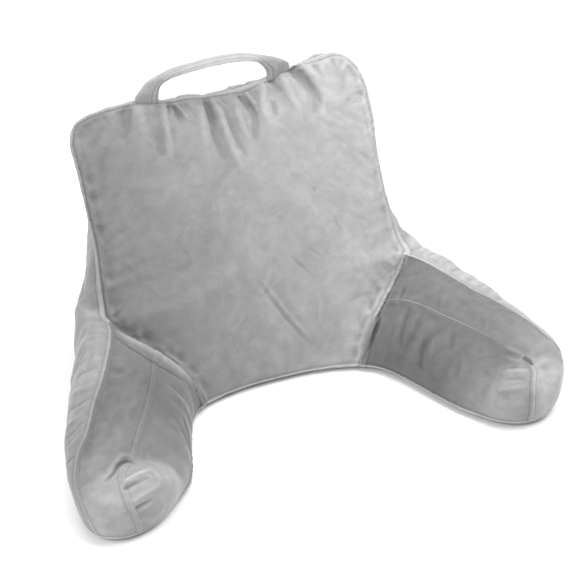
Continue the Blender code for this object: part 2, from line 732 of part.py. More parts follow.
# ---------------------------------------------------------------- strap
def strap(material):
    table = np.hstack([picked(STRAP, STRAP_COLUMNS, "outer_x", "outer_y", "outer_z"),
                       picked(STRAP, STRAP_COLUMNS, "inner_x", "inner_y", "inner_z")])
    for row in (table[0], table[-1]):
        row[2] = top_seam_height(row[0]) + STRAP_CLEAR
        row[5] = top_seam_height(row[3]) + STRAP_CLEAR
    edges = spline(table, even(STRAP_STEPS))
    middle = (edges[:, :3] + edges[:, 3:]) / 2
    travel = np.gradient(middle, axis=0)
    rings = []
    for i, edge in enumerate(edges):
        across = edge[3:] - edge[:3]
        up = unit(np.cross(across, travel[i]))
        flat = abs(up[2]) ** 2
        top, bottom = [], []
        for u in np.linspace(0.0, 1.0, STRAP_FACES + 1):
            arch = STRAP_ARCH * flat * math.sin(math.pi * u ** STRAP_LEAN)
            spot = edge[:3] + across * u + up * arch
            half = STRAP_THICKNESS / 2 * (STRAP_EDGE if u in (0.0, 1.0) else 1.0)
            top.append(spot + up * half)
            bottom.append(spot - up * half)
        rings.append(top + bottom[::-1] + [top[0]])
    shell = Shell()
    shell.grid(rings)
    shell.polygon(rings[0][:-1])
    shell.polygon(rings[-1][:-1])
    return shell.finish("handle", material)


# ---------------------------------------------------------------- assembly
def clear_scene():
    for item in list(bpy.data.objects):
        bpy.data.objects.remove(item, do_unlink=True)


def velour(name):
    material = bpy.data.materials.new(name)
    material.use_nodes = True
    shader = material.node_tree.nodes["Principled BSDF"]
    shader.inputs["Base Color"].default_value = VELOUR
    shader.inputs["Roughness"].default_value = 0.85
    shader.inputs["Metallic"].default_value = 0.0
    return material


def centre_on_base(pieces):
    """Puts the origin at the middle of the footprint, on the floor."""
    points = np.array([v.co[:] for piece in pieces for v in piece.data.vertices])
    low, high = points.min(axis=0), points.max(axis=0)
    shift = np.array([(low[0] + high[0]) / 2, (low[1] + high[1]) / 2, low[2]])
    for piece in pieces:
        for vertex in piece.data.vertices:
            vertex.co = np.array(vertex.co[:]) - shift


def main():
    clear_scene()
    pieces = [
        back_cushion(velour("back_velour")),
        arm("arm_left", -1.0, velour("arm_left_velour")),
        arm("arm_right", 1.0, velour("arm_right_velour")),
        strap(velour("strap_velour")),
    ]
    centre_on_base(pieces)


main()
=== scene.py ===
import math

import bpy
import numpy as np
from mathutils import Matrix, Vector, noise
from mathutils.bvhtree import BVHTree
from mathutils.kdtree import KDTree


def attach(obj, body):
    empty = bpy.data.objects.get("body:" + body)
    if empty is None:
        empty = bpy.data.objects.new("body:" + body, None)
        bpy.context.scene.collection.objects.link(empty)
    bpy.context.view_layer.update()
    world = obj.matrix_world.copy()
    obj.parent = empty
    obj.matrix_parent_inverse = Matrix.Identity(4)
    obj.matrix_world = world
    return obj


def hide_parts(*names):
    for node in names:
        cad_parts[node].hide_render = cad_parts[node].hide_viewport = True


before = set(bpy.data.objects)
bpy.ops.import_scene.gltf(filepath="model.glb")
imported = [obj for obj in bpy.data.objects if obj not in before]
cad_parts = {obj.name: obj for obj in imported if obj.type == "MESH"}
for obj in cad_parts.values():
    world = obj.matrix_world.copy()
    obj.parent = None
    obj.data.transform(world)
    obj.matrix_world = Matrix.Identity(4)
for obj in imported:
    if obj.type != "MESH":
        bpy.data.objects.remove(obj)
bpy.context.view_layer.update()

# The pattern of the pillow is drawn in its own y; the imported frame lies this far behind.
drawingStep = 0.0569


def smoothLine(points, step=0.002):
    # evenly spaced points of a soft curve through the given ones
    pts = np.array(points, dtype=float)
    steps = np.linalg.norm(np.diff(pts, axis=0), axis=1)
    knots = np.concatenate([[0.0], np.cumsum(steps)])
    slopes = np.gradient(pts, knots, axis=0)
    count = max(int(knots[-1] / step * 3), 12)
    fine = []
    for place in np.linspace(0.0, knots[-1], count):
        i = min(int(np.searchsorted(knots, place, side="right")) - 1, len(knots) - 2)
        span = knots[i + 1] - knots[i]
        u = (place - knots[i]) / span
        fine.append((2 * u ** 3 - 3 * u ** 2 + 1) * pts[i] + (u ** 3 - 2 * u ** 2 + u) * span * slopes[i]
                    + (3 * u ** 2 - 2 * u ** 3) * pts[i + 1] + (u ** 3 - u ** 2) * span * slopes[i + 1])
    return evenly(np.array(fine), step)


def evenly(line, step):
    lengths = np.linalg.norm(np.diff(line, axis=0), axis=1)
    along = np.concatenate([[0.0], np.cumsum(lengths)])
    places = np.linspace(0.0, along[-1], max(int(along[-1] / step), 2) + 1)
    return np.stack([np.interp(places, along, line[:, k]) for k in range(3)], axis=1)


def mirrored(line):
    return line * np.array([-1.0, 1.0, 1.0])


seamPlan = {
    "jointFoot": (0.118, -0.098),
    "jointTop": (0.226, -0.016),
    "joint": [(0.000, 0.010), (0.017, 0.040), (0.040, 0.066), (0.068, 0.083),
              (0.092, 0.092), (0.115, 0.105), (0.1356, 0.125)],      # along, height
    "jointOutside": [(0.174, 0.010), (0.183, 0.030), (0.188, 0.060), (0.187, 0.090),
                     (0.182, 0.115), (0.172, 0.134), (0.156, 0.141), (0.1356, 0.125)],
    "side": [(0.2245, 0.003, 0.143), (0.2225, 0.020, 0.170),
             (0.2210, 0.040, 0.209), (0.2215, 0.060, 0.250), (0.2225, 0.082, 0.291),
             (0.2235, 0.108, 0.328)],
    "cornerRadius": 0.034,
    "cornerRise": 0.036,
    "cornerTurns": (18, 36, 51, 63, 90),
    "topY": 0.150,
    "top": [(-0.190, 0.350), (-0.160, 0.357), (-0.120, 0.361), (-0.070, 0.352),
            (0.000, 0.348), (0.045, 0.348), (0.085, 0.358), (0.120, 0.371),
            (0.160, 0.376), (0.190, 0.380)],                          # x, height
    "sagFrom": 0.22,
    "rightTrim": 0.014,
    "trimHeights": (0.14, 0.22),
    "rear": [(0.190, 0.150, 0.010), (0.197, 0.156, 0.060), (0.196, 0.160, 0.120),
             (0.190, 0.164, 0.190), (0.187, 0.174, 0.245), (0.184, 0.186, 0.285),
             (0.175, 0.202, 0.306), (0.154, 0.206, 0.312), (0.000, 0.206, 0.312)],
    "armOuter": [(0.226, -0.016, 0.125), (0.232, -0.048, 0.134), (0.247, -0.088, 0.133),
                 (0.270, -0.130, 0.121), (0.297, -0.172, 0.110), (0.322, -0.214, 0.099),
                 (0.340, -0.240, 0.082), (0.351, -0.248, 0.060), (0.354, -0.258, 0.034),
                 (0.345, -0.268, 0.010)],
    "outerLeftEnd": [(-0.340, -0.232, 0.082), (-0.349, -0.248, 0.073), (-0.355, -0.264, 0.062),
                     (-0.356, -0.285, 0.050), (-0.353, -0.302, 0.035), (-0.348, -0.308, 0.012)],
    "armSpine": [(0.1717, -0.0572, 0.083), (0.183, -0.088, 0.100), (0.198, -0.121, 0.106),
                 (0.213, -0.158, 0.107), (0.235, -0.200, 0.105), (0.260, -0.237, 0.095),
                 (0.287, -0.268, 0.064)],
    "dartRight": [(0.286, -0.270, 0.074), (0.2845, -0.287, 0.076), (0.2715, -0.310, 0.066),
                  (0.268, -0.318, 0.048), (0.269, -0.317, 0.020), (0.269, -0.317, 0.010)],
    "dartLeft": [(-0.290, -0.268, 0.076), (-0.297, -0.276, 0.076), (-0.306, -0.301, 0.074),
                 (-0.306, -0.321, 0.062), (-0.299, -0.330, 0.040), (-0.293, -0.328, 0.012)],
}


def jointPoints(rows):
    foot, top = np.array(seamPlan["jointFoot"]), np.array(seamPlan["jointTop"])
    run = (top - foot) / np.linalg.norm(top - foot)
    return [[*(foot + run * along), height] for along, height in rows]


def frontHalf(side):
    # edge of the front panel from its foot up to the end of the top corner
    plan = seamPlan
    pts = jointPoints(plan["joint"]) + [list(p) for p in plan["side"]]
    last = plan["side"][-1]
    for turn in np.radians(plan["cornerTurns"]):
        pts.append([last[0] - plan["cornerRadius"] * (1 - math.cos(turn)),
                    last[1] + (plan["topY"] - last[1]) * math.sin(turn),
                    last[2] + plan["cornerRise"] * math.sin(turn)])
    pts = np.array(pts)
    tableX, tableZ = np.transpose(plan["top"])
    highest = pts[-1, 2]
    for p in pts:
        if side > 0:
            p[0] *= 1.0 - np.interp(p[2], plan["trimHeights"], (0.0, plan["rightTrim"]))
        weight = max(0.0, (p[2] - plan["sagFrom"]) / (highest - plan["sagFrom"])) ** 2
        p[2] += (np.interp(p[0] * side, tableX, tableZ) - highest) * weight
    return pts * np.array([side, 1.0, 1.0])


def seamLines():
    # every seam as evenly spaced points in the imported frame
    plan = seamPlan
    right, left = frontHalf(1.0), frontHalf(-1.0)
    between = [[x, plan["topY"], z] for x, z in plan["top"][1:-1]]
    outline = np.vstack([right, np.array(between)[::-1], left[::-1]])
    rear = smoothLine(plan["rear"])
    lines = {
        "front": smoothLine(outline),
        "rear": np.vstack([rear, mirrored(rear)[::-1][1:]]),
        "outerRight": smoothLine(plan["armOuter"]),
        "spineRight": smoothLine(plan["armSpine"]),
        "dartRight": smoothLine(plan["dartRight"]),
        "dartLeft": smoothLine(plan["dartLeft"]),
    }
    outer = [(-x, y, z) for x, y, z in plan["armOuter"] if z > 0.098]
    lines["outerLeft"] = smoothLine(outer + plan["outerLeftEnd"])
    lines["spineLeft"] = mirrored(lines["spineRight"])
    for line in lines.values():
        line[:, 1] += drawingStep
    return lines


def treeOf(points):
    tree = KDTree(len(points))
    for i, p in enumerate(points):
        tree.insert(p, i)
    tree.balance()
    return tree


def pickOnly(piece):
    bpy.ops.object.select_all(action="DESELECT")
    piece.select_set(True)
    bpy.context.view_layer.objects.active = piece


def applyAll(piece):
    pickOnly(piece)
    for modifier in list(piece.modifiers):
        bpy.ops.object.modifier_apply(modifier=modifier.name)


def pointsOf(piece):
    flat = np.empty(len(piece.data.vertices) * 3)
    piece.data.vertices.foreach_get("co", flat)
    return flat.reshape(-1, 3)


def normalsOf(piece):
    flat = np.empty(len(piece.data.vertices) * 3)
    piece.data.vertices.foreach_get("normal", flat)
    return flat.reshape(-1, 3)


def movePoints(piece, pts):
    piece.data.vertices.foreach_set("co", pts.ravel())
    piece.data.update()


def surfaceOf(piece):
    return BVHTree.FromObject(piece, bpy.context.evaluated_depsgraph_get())


studio = {
    "azimuth": -23.71,
    "elevation": 31.51,
    "distance": 2.3652,
    "target": (0.0025, -0.0431, 0.1719),
    "lens": 109.96,
    "sensor": 36.0,
    "picture": 573,         # pixels along each side
}


def towardsCamera():
    az, el = math.radians(studio["azimuth"]), math.radians(studio["elevation"])
    return Vector((math.sin(az) * math.cos(el), -math.cos(az) * math.cos(el), math.sin(el)))


def seenAt(surface, pixel):
    # the place on the cloth that the camera sees at a pixel of the picture
    ahead = -towardsCamera()
    across = ahead.cross(Vector((0.0, 0.0, 1.0))).normalized()
    middle, reach = studio["picture"] / 2, studio["picture"] * studio["lens"] / studio["sensor"]
    ray = (ahead + across * ((pixel[0] - middle) / reach)
           - across.cross(ahead) * ((pixel[1] - middle) / reach))
    eye = Vector(studio["target"]) + towardsCamera() * studio["distance"]
    return surface.ray_cast(eye, ray.normalized())[0]


def onCloth(surface, point):
    return seenAt(surface, point) if len(point) == 2 else surface.find_nearest(Vector(point))[0]


def calmed(piece, values, passes):
    # values of the points, each averaged with its neighbours' again and again
    ends = np.empty(len(piece.data.edges) * 2, dtype=np.int32)
    piece.data.edges.foreach_get("vertices", ends)
    first, second = ends.reshape(-1, 2).T
    count = len(values)
    degree = np.bincount(first, minlength=count) + np.bincount(second, minlength=count)
    soft = values.copy()
    for _ in range(passes):
        for axis in range(3):
            here = soft[:, axis]
            total = (np.bincount(first, weights=here[second], minlength=count)
                     + np.bincount(second, weights=here[first], minlength=count))
            soft[:, axis] = 0.5 * here + 0.5 * total / degree
    return soft


coverPlan = {
    "voxel": 0.005,
    "pressure": 2.0,
    "growth": 0.020,         # spare cloth between the seams, as a share
    "frames": 20,
    "calm": 14,              # passes that part its wrinkles from its swelling
    "swelling": 0.12,        # share of the swelling that is kept
    "wrinkles": 0.45,        # share of the wrinkles that is kept
    "mostMove": 0.003,       # cap on what the simulation moves, metres
    "held": 0.004,           # cloth this close to a seam stays where it is sewn
    "free": 0.024,           # and from here on it is free
    "floorHeight": 0.010,
    "joinReach": 0.034,
    "joinPasses": 14,
    "baseSeam": 0.010,       # height of the piped seam round the underside
    "fineReach": 0.008,      # cloth this close to a seam or sharp fold gets finer faces
    "sharpFold": 0.0043,     # half width under which a fold is sharp
    "endPlace": (0.252, -0.225, 0.048),
    "endReach": 0.070,       # the arm ends are rounded off within this of their middle
    "endPasses": 44,
}


def joinedCover():
    # the three filled CAD solids as one closed cloth body
    parts = []
    for node in ("back_cushion", "arm_left", "arm_right"):
        part = bpy.data.objects.new(node + "_cloth", bpy.data.objects[node].data.copy())
        bpy.context.scene.collection.objects.link(part)
        parts.append(part)
    bpy.ops.object.select_all(action="DESELECT")
    for part in parts:
        part.select_set(True)
    cover = parts[0]
    bpy.context.view_layer.objects.active = cover
    bpy.ops.object.join()
    cover.name = "pillow_cover"
    cover.data.name = "pillow_cover"
    cover.data.materials.clear()
    bpy.ops.object.mode_set(mode="EDIT")
    bpy.ops.mesh.select_all(action="SELECT")
    bpy.ops.mesh.remove_doubles(threshold=0.00002)
    bpy.ops.object.mode_set(mode="OBJECT")
    remesh = cover.modifiers.new("even", "REMESH")
    remesh.mode = "VOXEL"
    remesh.voxel_size = coverPlan["voxel"]
    applyAll(cover)
    return cover


def easeNear(cover, line, reach, passes):
    # smooths the cloth that lies close to a line
    tree = treeOf(np.vstack([line, mirrored(line)]))
    group = cover.vertex_groups.new(name="ease")
    for i, p in enumerate(pointsOf(cover)):
        near = 1.0 - tree.find(p)[2] / reach
        if near > 0.0 and p[2] > 0.004:
            group.add([i], min(near * 1.6, 1.0), "REPLACE")
    smooth = cover.modifiers.new("ease", "SMOOTH")
    smooth.iterations = passes
    smooth.vertex_group = "ease"
    applyAll(cover)
    cover.vertex_groups.clear()


def easeJoins(cover):
    # the side band runs on over the arm with no seam, so the join of the solids is smoothed
    plan = coverPlan
    line = smoothLine(jointPoints(seamPlan["jointOutside"])[:-1]) + [0.0, drawingStep, 0.0]
    easeNear(cover, line, plan["joinReach"], plan["joinPasses"])
    easeNear(cover, np.array([plan["endPlace"]]), plan["endReach"], plan["endPasses"])


def fillWithFoam(cover, lines):
    # blows the sewn cover up a little, so the spare cloth wrinkles beside its seams
    before = pointsOf(cover)
    tree = treeOf(np.vstack(list(lines.values())))
    sewn = cover.vertex_groups.new(name="sewn")
    span = coverPlan["free"] - coverPlan["held"]
    for i, p in enumerate(before):
        away = tree.find(p)[2]
        hold = 1.0 - min(max((away - coverPlan["held"]) / span, 0.0), 1.0)
        if p[2] < coverPlan["floorHeight"]:
            hold = 1.0
        sewn.add([i], max(hold ** 2, 0.02), "REPLACE")
    cloth = cover.modifiers.new("filling", "CLOTH").settings
    cloth.quality = 4
    cloth.mass = 0.3
    cloth.tension_stiffness = 12.0
    cloth.compression_stiffness = 12.0
    cloth.shear_stiffness = 4.0
    cloth.bending_stiffness = 0.15
    cloth.use_pressure = True
    cloth.uniform_pressure_force = coverPlan["pressure"]
    cloth.shrink_min = -coverPlan["growth"]
    cloth.effector_weights.gravity = 0.0
    cloth.vertex_group_mass = "sewn"
    for number in range(1, coverPlan["frames"] + 1):
        bpy.context.scene.frame_set(number)
    applyAll(cover)
    bpy.context.scene.frame_set(1)
    after = pointsOf(cover)
    moved = after - before
    swelling = calmed(cover, moved, coverPlan["calm"])
    moved = (moved - swelling) * coverPlan["wrinkles"] + swelling * coverPlan["swelling"]
    far = np.linalg.norm(moved, axis=1, keepdims=True)
    print("cloth moved:", np.round(np.percentile(far, (50, 90, 99, 100)) * 1000, 1), "mm")
    capped = before + moved * np.minimum(1.0, coverPlan["mostMove"] / np.maximum(far, 1e-9))
    capped[:, 2] = np.maximum(capped[:, 2], 0.0)
    movePoints(cover, capped)
    cover.vertex_groups.clear()


def refineBySeams(cover, lines):
    # finer faces along the seams, where the stitching lies
    subdivision = cover.modifiers.new("smooth", "SUBSURF")
    subdivision.levels = 1
    subdivision.render_levels = 1
    applyAll(cover)
    surface = surfaceOf(cover)
    folds = [smoothLine([onCloth(surface, p) for p in points])
             for points, halfWidth, rise, head in allFolds if halfWidth < coverPlan["sharpFold"]]
    tree = treeOf(np.vstack(list(lines.values()) + folds))
    for polygon in cover.data.polygons:
        polygon.select = (tree.find(polygon.center)[2] < coverPlan["fineReach"]
                          or abs(polygon.center.z - coverPlan["baseSeam"]) < 0.005)
    bpy.ops.object.mode_set(mode="EDIT")
    bpy.ops.mesh.select_mode(type="FACE")
    bpy.ops.mesh.subdivide(number_cuts=1, ngon=False)
    bpy.ops.mesh.select_all(action="DESELECT")
    bpy.ops.object.mode_set(mode="OBJECT")


# Each fold: its points on the cloth, half width, rise, and 1 where it starts in full at a seam.
# A point of two numbers is a pixel of the picture, and one of three is a place.
foldPlan = {
    "innerSides": [  # they run on evenly into the arm ends
        ([(0.214, -0.199, 0.036), (0.222, -0.199, 0.050), (0.232, -0.198, 0.062)], 0.0150, 0.0050, 1),
        ([(-0.214, -0.199, 0.036), (-0.222, -0.199, 0.050), (-0.232, -0.198, 0.062)], 0.0150, 0.0036, 1),
    ],
    "armsSetIn": [  # a little behind the back's edge seam
        ([(0.120, -0.041, 0.016), (0.129, -0.040, 0.030), (0.138, -0.035, 0.046), (0.149, -0.026, 0.061),
          (0.160, -0.014, 0.074), (0.176, -0.002, 0.085), (0.190, 0.009, 0.095), (0.206, 0.021, 0.108),
          (0.222, 0.034, 0.121)], 0.0038, -0.0066, 0),
        ([(-0.120, -0.041, 0.016), (-0.138, -0.036, 0.046), (-0.160, -0.014, 0.074), (-0.190, 0.008, 0.095),
          (-0.222, 0.034, 0.120)], 0.0030, -0.0045, 0),
    ],
    "gathers": [  # under the top seam, from left to right
        ([(126, 105.6), (-0.138, 0.183, 0.339), (128.5, 147)], 0.0060, -0.0021, 1),
        ([(138, 109), (147.6, 136)], 0.0055, 0.0021, 1),
        ([(158, 134), (163, 157)], 0.0055, -0.0023, 0),
        ([(163.6, 109), (168, 135), (171.5, 160)], 0.0050, 0.0034, 0),
        ([(-0.068, 0.203, 0.348), (-0.076, 0.184, 0.340)], 0.0040, -0.0036, 1),
        ([(175, 107), (182, 125)], 0.0042, -0.0039, 1),
        ([(176, 105.6), (190.7, 121.5)], 0.0030, 0.0036, 1),
        ([(-0.046, 0.196, 0.345), (-0.038, 0.176, 0.331)], 0.0040, -0.0021, 1),
        ([(200, 109), (205, 128), (206.6, 148.6)], 0.0055, 0.0034, 1),
        ([(206.6, 101), (211.4, 120), (216, 137.5), (225.7, 160)], 0.0052, -0.0052, 1),
        ([(213, 102), (222.5, 120), (230.5, 144), (246.5, 176)], 0.0050, 0.0036, 1),
        ([(0.007, 0.184, 0.337), (235, 134), (248, 157)], 0.0050, -0.0039, 0),
        ([(219, 101), (230.5, 110)], 0.0034, 0.0029, 1),
        ([(0.024, 0.180, 0.336), (243, 128), (249.7, 140.7)], 0.0048, 0.0036, 0),
        ([(0.038, 0.200, 0.341), (253, 112), (256, 140.7)], 0.0050, -0.0044, 1),
        ([(246.5, 94.4), (0.053, 0.180, 0.334)], 0.0034, 0.0031, 1),
        ([(0.072, 0.201, 0.354), (265.6, 115), (272, 124.7)], 0.0050, 0.0034, 1),
        ([(270.4, 80), (281.5, 92.8)], 0.0046, -0.0039, 1),
        ([(272, 99), (276.8, 116.7)], 0.0046, -0.0031, 0),
        ([(281.5, 77), (292.7, 97.6), (304, 115)], 0.0058, 0.0036, 1),
        ([(0.121, 0.207, 0.365), (305.5, 83), (316.6, 97.6), (0.131, 0.149, 0.318)], 0.0070, -0.0055, 1),
        ([(302, 65.7), (321.4, 83)], 0.0060, 0.0031, 1),
        ([(315, 65.7), (0.161, 0.180, 0.355)], 0.0050, -0.0023, 1),
    ],
    "frontCreases": [  # by the top right corner and lower down
        ([(0.192, 0.185, 0.356), (0.180, 0.164, 0.334)], 0.0050, -0.0010, 1),
        ([(349, 100), (338, 112)], 0.0040, -0.0010, 1),
        ([(257, 280), (0.016, -0.004, 0.100), (311, 345)], 0.0036, -0.0018, 0),
        ([(-0.008, 0.022, 0.151), (0.023, -0.004, 0.100), (0.055, -0.023, 0.053)], 0.0042, 0.0013, 0),
        ([(290, 256), (312, 275)], 0.0033, -0.0014, 0),
        ([(305, 245), (324, 259)], 0.0033, -0.0010, 0),
        ([(331, 211), (345, 238)], 0.0038, -0.0011, 0),
        ([(0.099, 0.086, 0.240), (0.103, 0.082, 0.232)], 0.0030, -0.0012, 0),
    ],
    "leftPucker": [  # the lip over it, then the folds beside the dart
        ([(104, 483), (114, 473), (119.5, 465), (-0.285, -0.205, 0.073),
          (-0.274, -0.214, 0.076)], 0.0021, -0.0040, 0),
        ([(-0.318, -0.220, 0.079), (-0.303, -0.207, 0.081), (-0.290, -0.198, 0.081),
          (-0.276, -0.202, 0.078)], 0.0040, 0.0026, 0),
        ([(125, 482), (-0.284, -0.236, 0.079), (-0.262, -0.228, 0.076)], 0.0034, 0.0038, 1),
        ([(-0.304, -0.250, 0.073), (-0.287, -0.246, 0.074), (-0.270, -0.241, 0.074)], 0.0030, -0.0038, 1),
        ([(-0.300, -0.266, 0.063), (148, 492), (-0.258, -0.252, 0.065)], 0.0038, 0.0028, 1),
        ([(138, 508), (153, 499)], 0.0030, -0.0038, 1),
        ([(-0.293, -0.272, 0.034), (158.2, 515.1), (-0.257, -0.258, 0.038)], 0.0045, 0.0016, 1),
        ([(146, 466), (-0.257, -0.240, 0.071), (-0.258, -0.254, 0.065)], 0.0040, 0.0016, 0),
        ([(-0.185, -0.131, 0.070), (-0.182, -0.146, 0.036)], 0.0050, -0.0016, 0),
        ([(-0.212, -0.149, 0.084), (-0.192, -0.161, 0.040)], 0.0055, 0.0014, 0),
    ],
    "leftRoll": [  # rolled cloth beside the joint
        ([(-0.228, 0.010, 0.127), (-0.214, -0.010, 0.119), (-0.200, -0.020, 0.109), (-0.184, -0.028, 0.096),
          (-0.168, -0.034, 0.083), (-0.151, -0.039, 0.065), (-0.131, -0.040, 0.036)], 0.0072, 0.0076, 0),
        ([(-0.234, -0.008, 0.131), (-0.218, -0.032, 0.123), (-0.204, -0.043, 0.113),
          (-0.188, -0.050, 0.101), (-0.172, -0.054, 0.086), (-0.157, -0.054, 0.067)], 0.0044, -0.0036, 0),
        ([(-0.252, -0.060, 0.127), (-0.236, -0.084, 0.119)], 0.0050, 0.0016, 0),
    ],
    "leftBandTucks": [  # slanting across the band
        ([(-0.282, -0.010, 0.108), (-0.262, -0.002, 0.131)], 0.0055, -0.0018, 0),
        ([(-0.291, -0.028, 0.106), (-0.268, -0.026, 0.128)], 0.0050, 0.0016, 0),
        ([(76, 380), (88, 370), (98, 366)], 0.0042, -0.0020, 0),
        ([(-0.312, -0.060, 0.090), (84, 388), (97, 382)], 0.0040, 0.0018, 0),
        ([(-0.324, -0.080, 0.086), (80, 404), (92, 396)], 0.0038, -0.0020, 0),
        ([(-0.336, -0.106, 0.076), (-0.325, -0.122, 0.098), (-0.306, -0.116, 0.107)], 0.0036, 0.0016, 0),
        ([(-0.343, -0.126, 0.070), (75.4, 429.5), (-0.314, -0.132, 0.104)], 0.0036, -0.0018, 0),
        ([(-0.348, -0.146, 0.070), (-0.337, -0.151, 0.088), (84, 430)], 0.0034, 0.0014, 0),
        ([(-0.350, -0.166, 0.062), (-0.342, -0.172, 0.082)], 0.0034, -0.0015, 0),
    ],
    "rightPucker": [  # a star of folds
        ([(0.284, -0.203, 0.077), (0.288, -0.211, 0.074), (533, 366)], 0.0034, -0.0056, 0),
        ([(0.264, -0.186, 0.091), (516, 352), (0.287, -0.204, 0.076)], 0.0044, 0.0022, 0),
        ([(0.262, -0.197, 0.079), (518, 362), (525, 364)], 0.0040, 0.0020, 0),
        ([(502.5, 373.5), (515, 371), (529, 370)], 0.0036, 0.0032, 1),
        ([(0.258, -0.208, 0.076), (0.270, -0.216, 0.076)], 0.0032, -0.0024, 0),
        ([(0.240, -0.226, 0.068), (0.268, -0.241, 0.074)], 0.0040, -0.0020, 0),
        ([(0.230, -0.236, 0.062), (0.246, -0.246, 0.065), (0.266, -0.252, 0.067)], 0.0040, 0.0024, 1),
        ([(500, 404), (526, 402)], 0.0045, 0.0018, 1),
        ([(0.288, -0.226, 0.079), (547.5, 359.9)], 0.0048, 0.0020, 0),
        ([(0.338, -0.160, 0.087), (0.345, -0.184, 0.078)], 0.0040, -0.0018, 0),
        ([(0.326, -0.166, 0.093), (0.335, -0.190, 0.084)], 0.0045, -0.0015, 0),
    ],
    "rightInnerPuckers": [  # standing ones of the inner panel
        ([(0.199, -0.015, 0.110), (0.180, -0.031, 0.094)], 0.0045, -0.0030, 0),
        ([(410, 306), (402, 330), (399, 352)], 0.0048, -0.0030, 0),
        ([(0.196, -0.068, 0.102), (0.174, -0.082, 0.072)], 0.0045, 0.0018, 0),
        ([(428, 330), (422, 352), (421, 372)], 0.0050, -0.0028, 0),
        ([(0.196, -0.116, 0.084), (0.186, -0.126, 0.052)], 0.0045, 0.0016, 0),
        ([(455, 330), (450, 352)], 0.0048, -0.0020, 0),
        ([(0.209, -0.160, 0.072), (0.201, -0.172, 0.040)], 0.0060, -0.0016, 0),
    ],
    "rightBandTucks": [  # behind the outer seam
        ([(0.252, 0.040, 0.134), (0.240, 0.034, 0.136)], 0.0045, -0.0020, 0),
        ([(0.262, 0.012, 0.132), (0.244, 0.008, 0.136)], 0.0045, -0.0022, 0),
        ([(0.268, -0.012, 0.128), (0.250, -0.014, 0.135)], 0.0040, 0.0018, 0),
        ([(0.276, -0.032, 0.126), (0.256, -0.036, 0.132)], 0.0045, -0.0022, 0),
        ([(0.290, -0.054, 0.121), (0.270, -0.060, 0.125)], 0.0045, -0.0020, 0),
        ([(0.300, -0.076, 0.115), (0.282, -0.082, 0.119)], 0.0040, 0.0016, 0),
        ([(0.312, -0.098, 0.108), (0.294, -0.104, 0.113)], 0.0045, -0.0020, 0),
        ([(0.330, -0.132, 0.096), (0.315, -0.138, 0.102)], 0.0045, -0.0018, 0),
    ],
    "gusset": [  # it stands up a little between short tucks, behind the front seam
        ([(0.018, 0.221, 0.345), (0.048, 0.221, 0.347), (0.074, 0.221, 0.350)], 0.0085, 0.0052, 0),
        ([(0.134, 0.221, 0.366), (0.188, 0.219, 0.370)], 0.0090, 0.0060, 0),
        ([(-0.060, 0.221, 0.345), (-0.015, 0.221, 0.343)], 0.0080, 0.0022, 0),
        ([(-0.170, 0.224, 0.346), (-0.164, 0.246, 0.330)], 0.0045, -0.0022, 0),
        ([(-0.050, 0.216, 0.344), (-0.056, 0.240, 0.330)], 0.0042, -0.0024, 0),
        ([(-0.010, 0.216, 0.343), (-0.004, 0.242, 0.328)], 0.0045, -0.0026, 0),
        ([(0.030, 0.216, 0.343), (0.036, 0.240, 0.328)], 0.0040, 0.0022, 0),
        ([(0.052, 0.216, 0.346), (0.060, 0.240, 0.330)], 0.0042, -0.0028, 0),
        ([(0.150, 0.216, 0.366), (0.146, 0.240, 0.340)], 0.0045, -0.0030, 0),
        ([(0.164, 0.214, 0.370), (0.166, 0.240, 0.344)], 0.0040, 0.0026, 0),
        ([(0.180, 0.212, 0.366), (0.182, 0.236, 0.340)], 0.0042, -0.0024, 0),
    ],
}
allFolds = [fold for folds in foldPlan.values() for fold in folds]


seamLinesNow = seamLines()
print("seams drawn:", {name: len(line) for name, line in seamLinesNow.items()})
cover = joinedCover()
easeJoins(cover)
print("cover joined:", len(cover.data.vertices), "points")
fillWithFoam(cover, seamLinesNow)
print("cover filled")
refineBySeams(cover, seamLinesNow)
print("cover refined:", len(cover.data.vertices), "points")


def besideLine(piece, line, reach):
    # for the points near a line: their numbers, signed distance across, place along
    pts, normals = pointsOf(piece), normalsOf(piece)
    low, high = line.min(axis=0) - reach, line.max(axis=0) + reach
    near = np.where(np.all((pts > low) & (pts < high), axis=1))[0]
    tree = treeOf(line)
    numbers, spots, gaps = [], [], []
    for i in near:
        spot, k, gap = tree.find(pts[i])
        if gap < reach:
            numbers.append(i)
            spots.append(k)
            gaps.append(gap)
    numbers, spots = np.array(numbers), np.array(spots)
    travel = np.gradient(line, axis=0)
    travel = travel / np.linalg.norm(travel, axis=1, keepdims=True)
    side = np.cross(travel[spots], normals[numbers])
    away = pts[numbers] - line[spots]
    across = np.einsum("ij,ij->i", away, side)
    signed = np.sign(across) * np.array(gaps)
    lengths = np.concatenate([[0.0], np.cumsum(np.linalg.norm(np.diff(line, axis=0), axis=1))])
    return numbers, signed, lengths[spots] + np.einsum("ij,ij->i", away, travel[spots]), lengths[-1]


def wave(place, length, seed):
    # soft uneven ripple along a seam, between about -1 and 1
    return np.array([noise.noise(Vector((p / length, seed, 0.5))) * 2.0 for p in place])


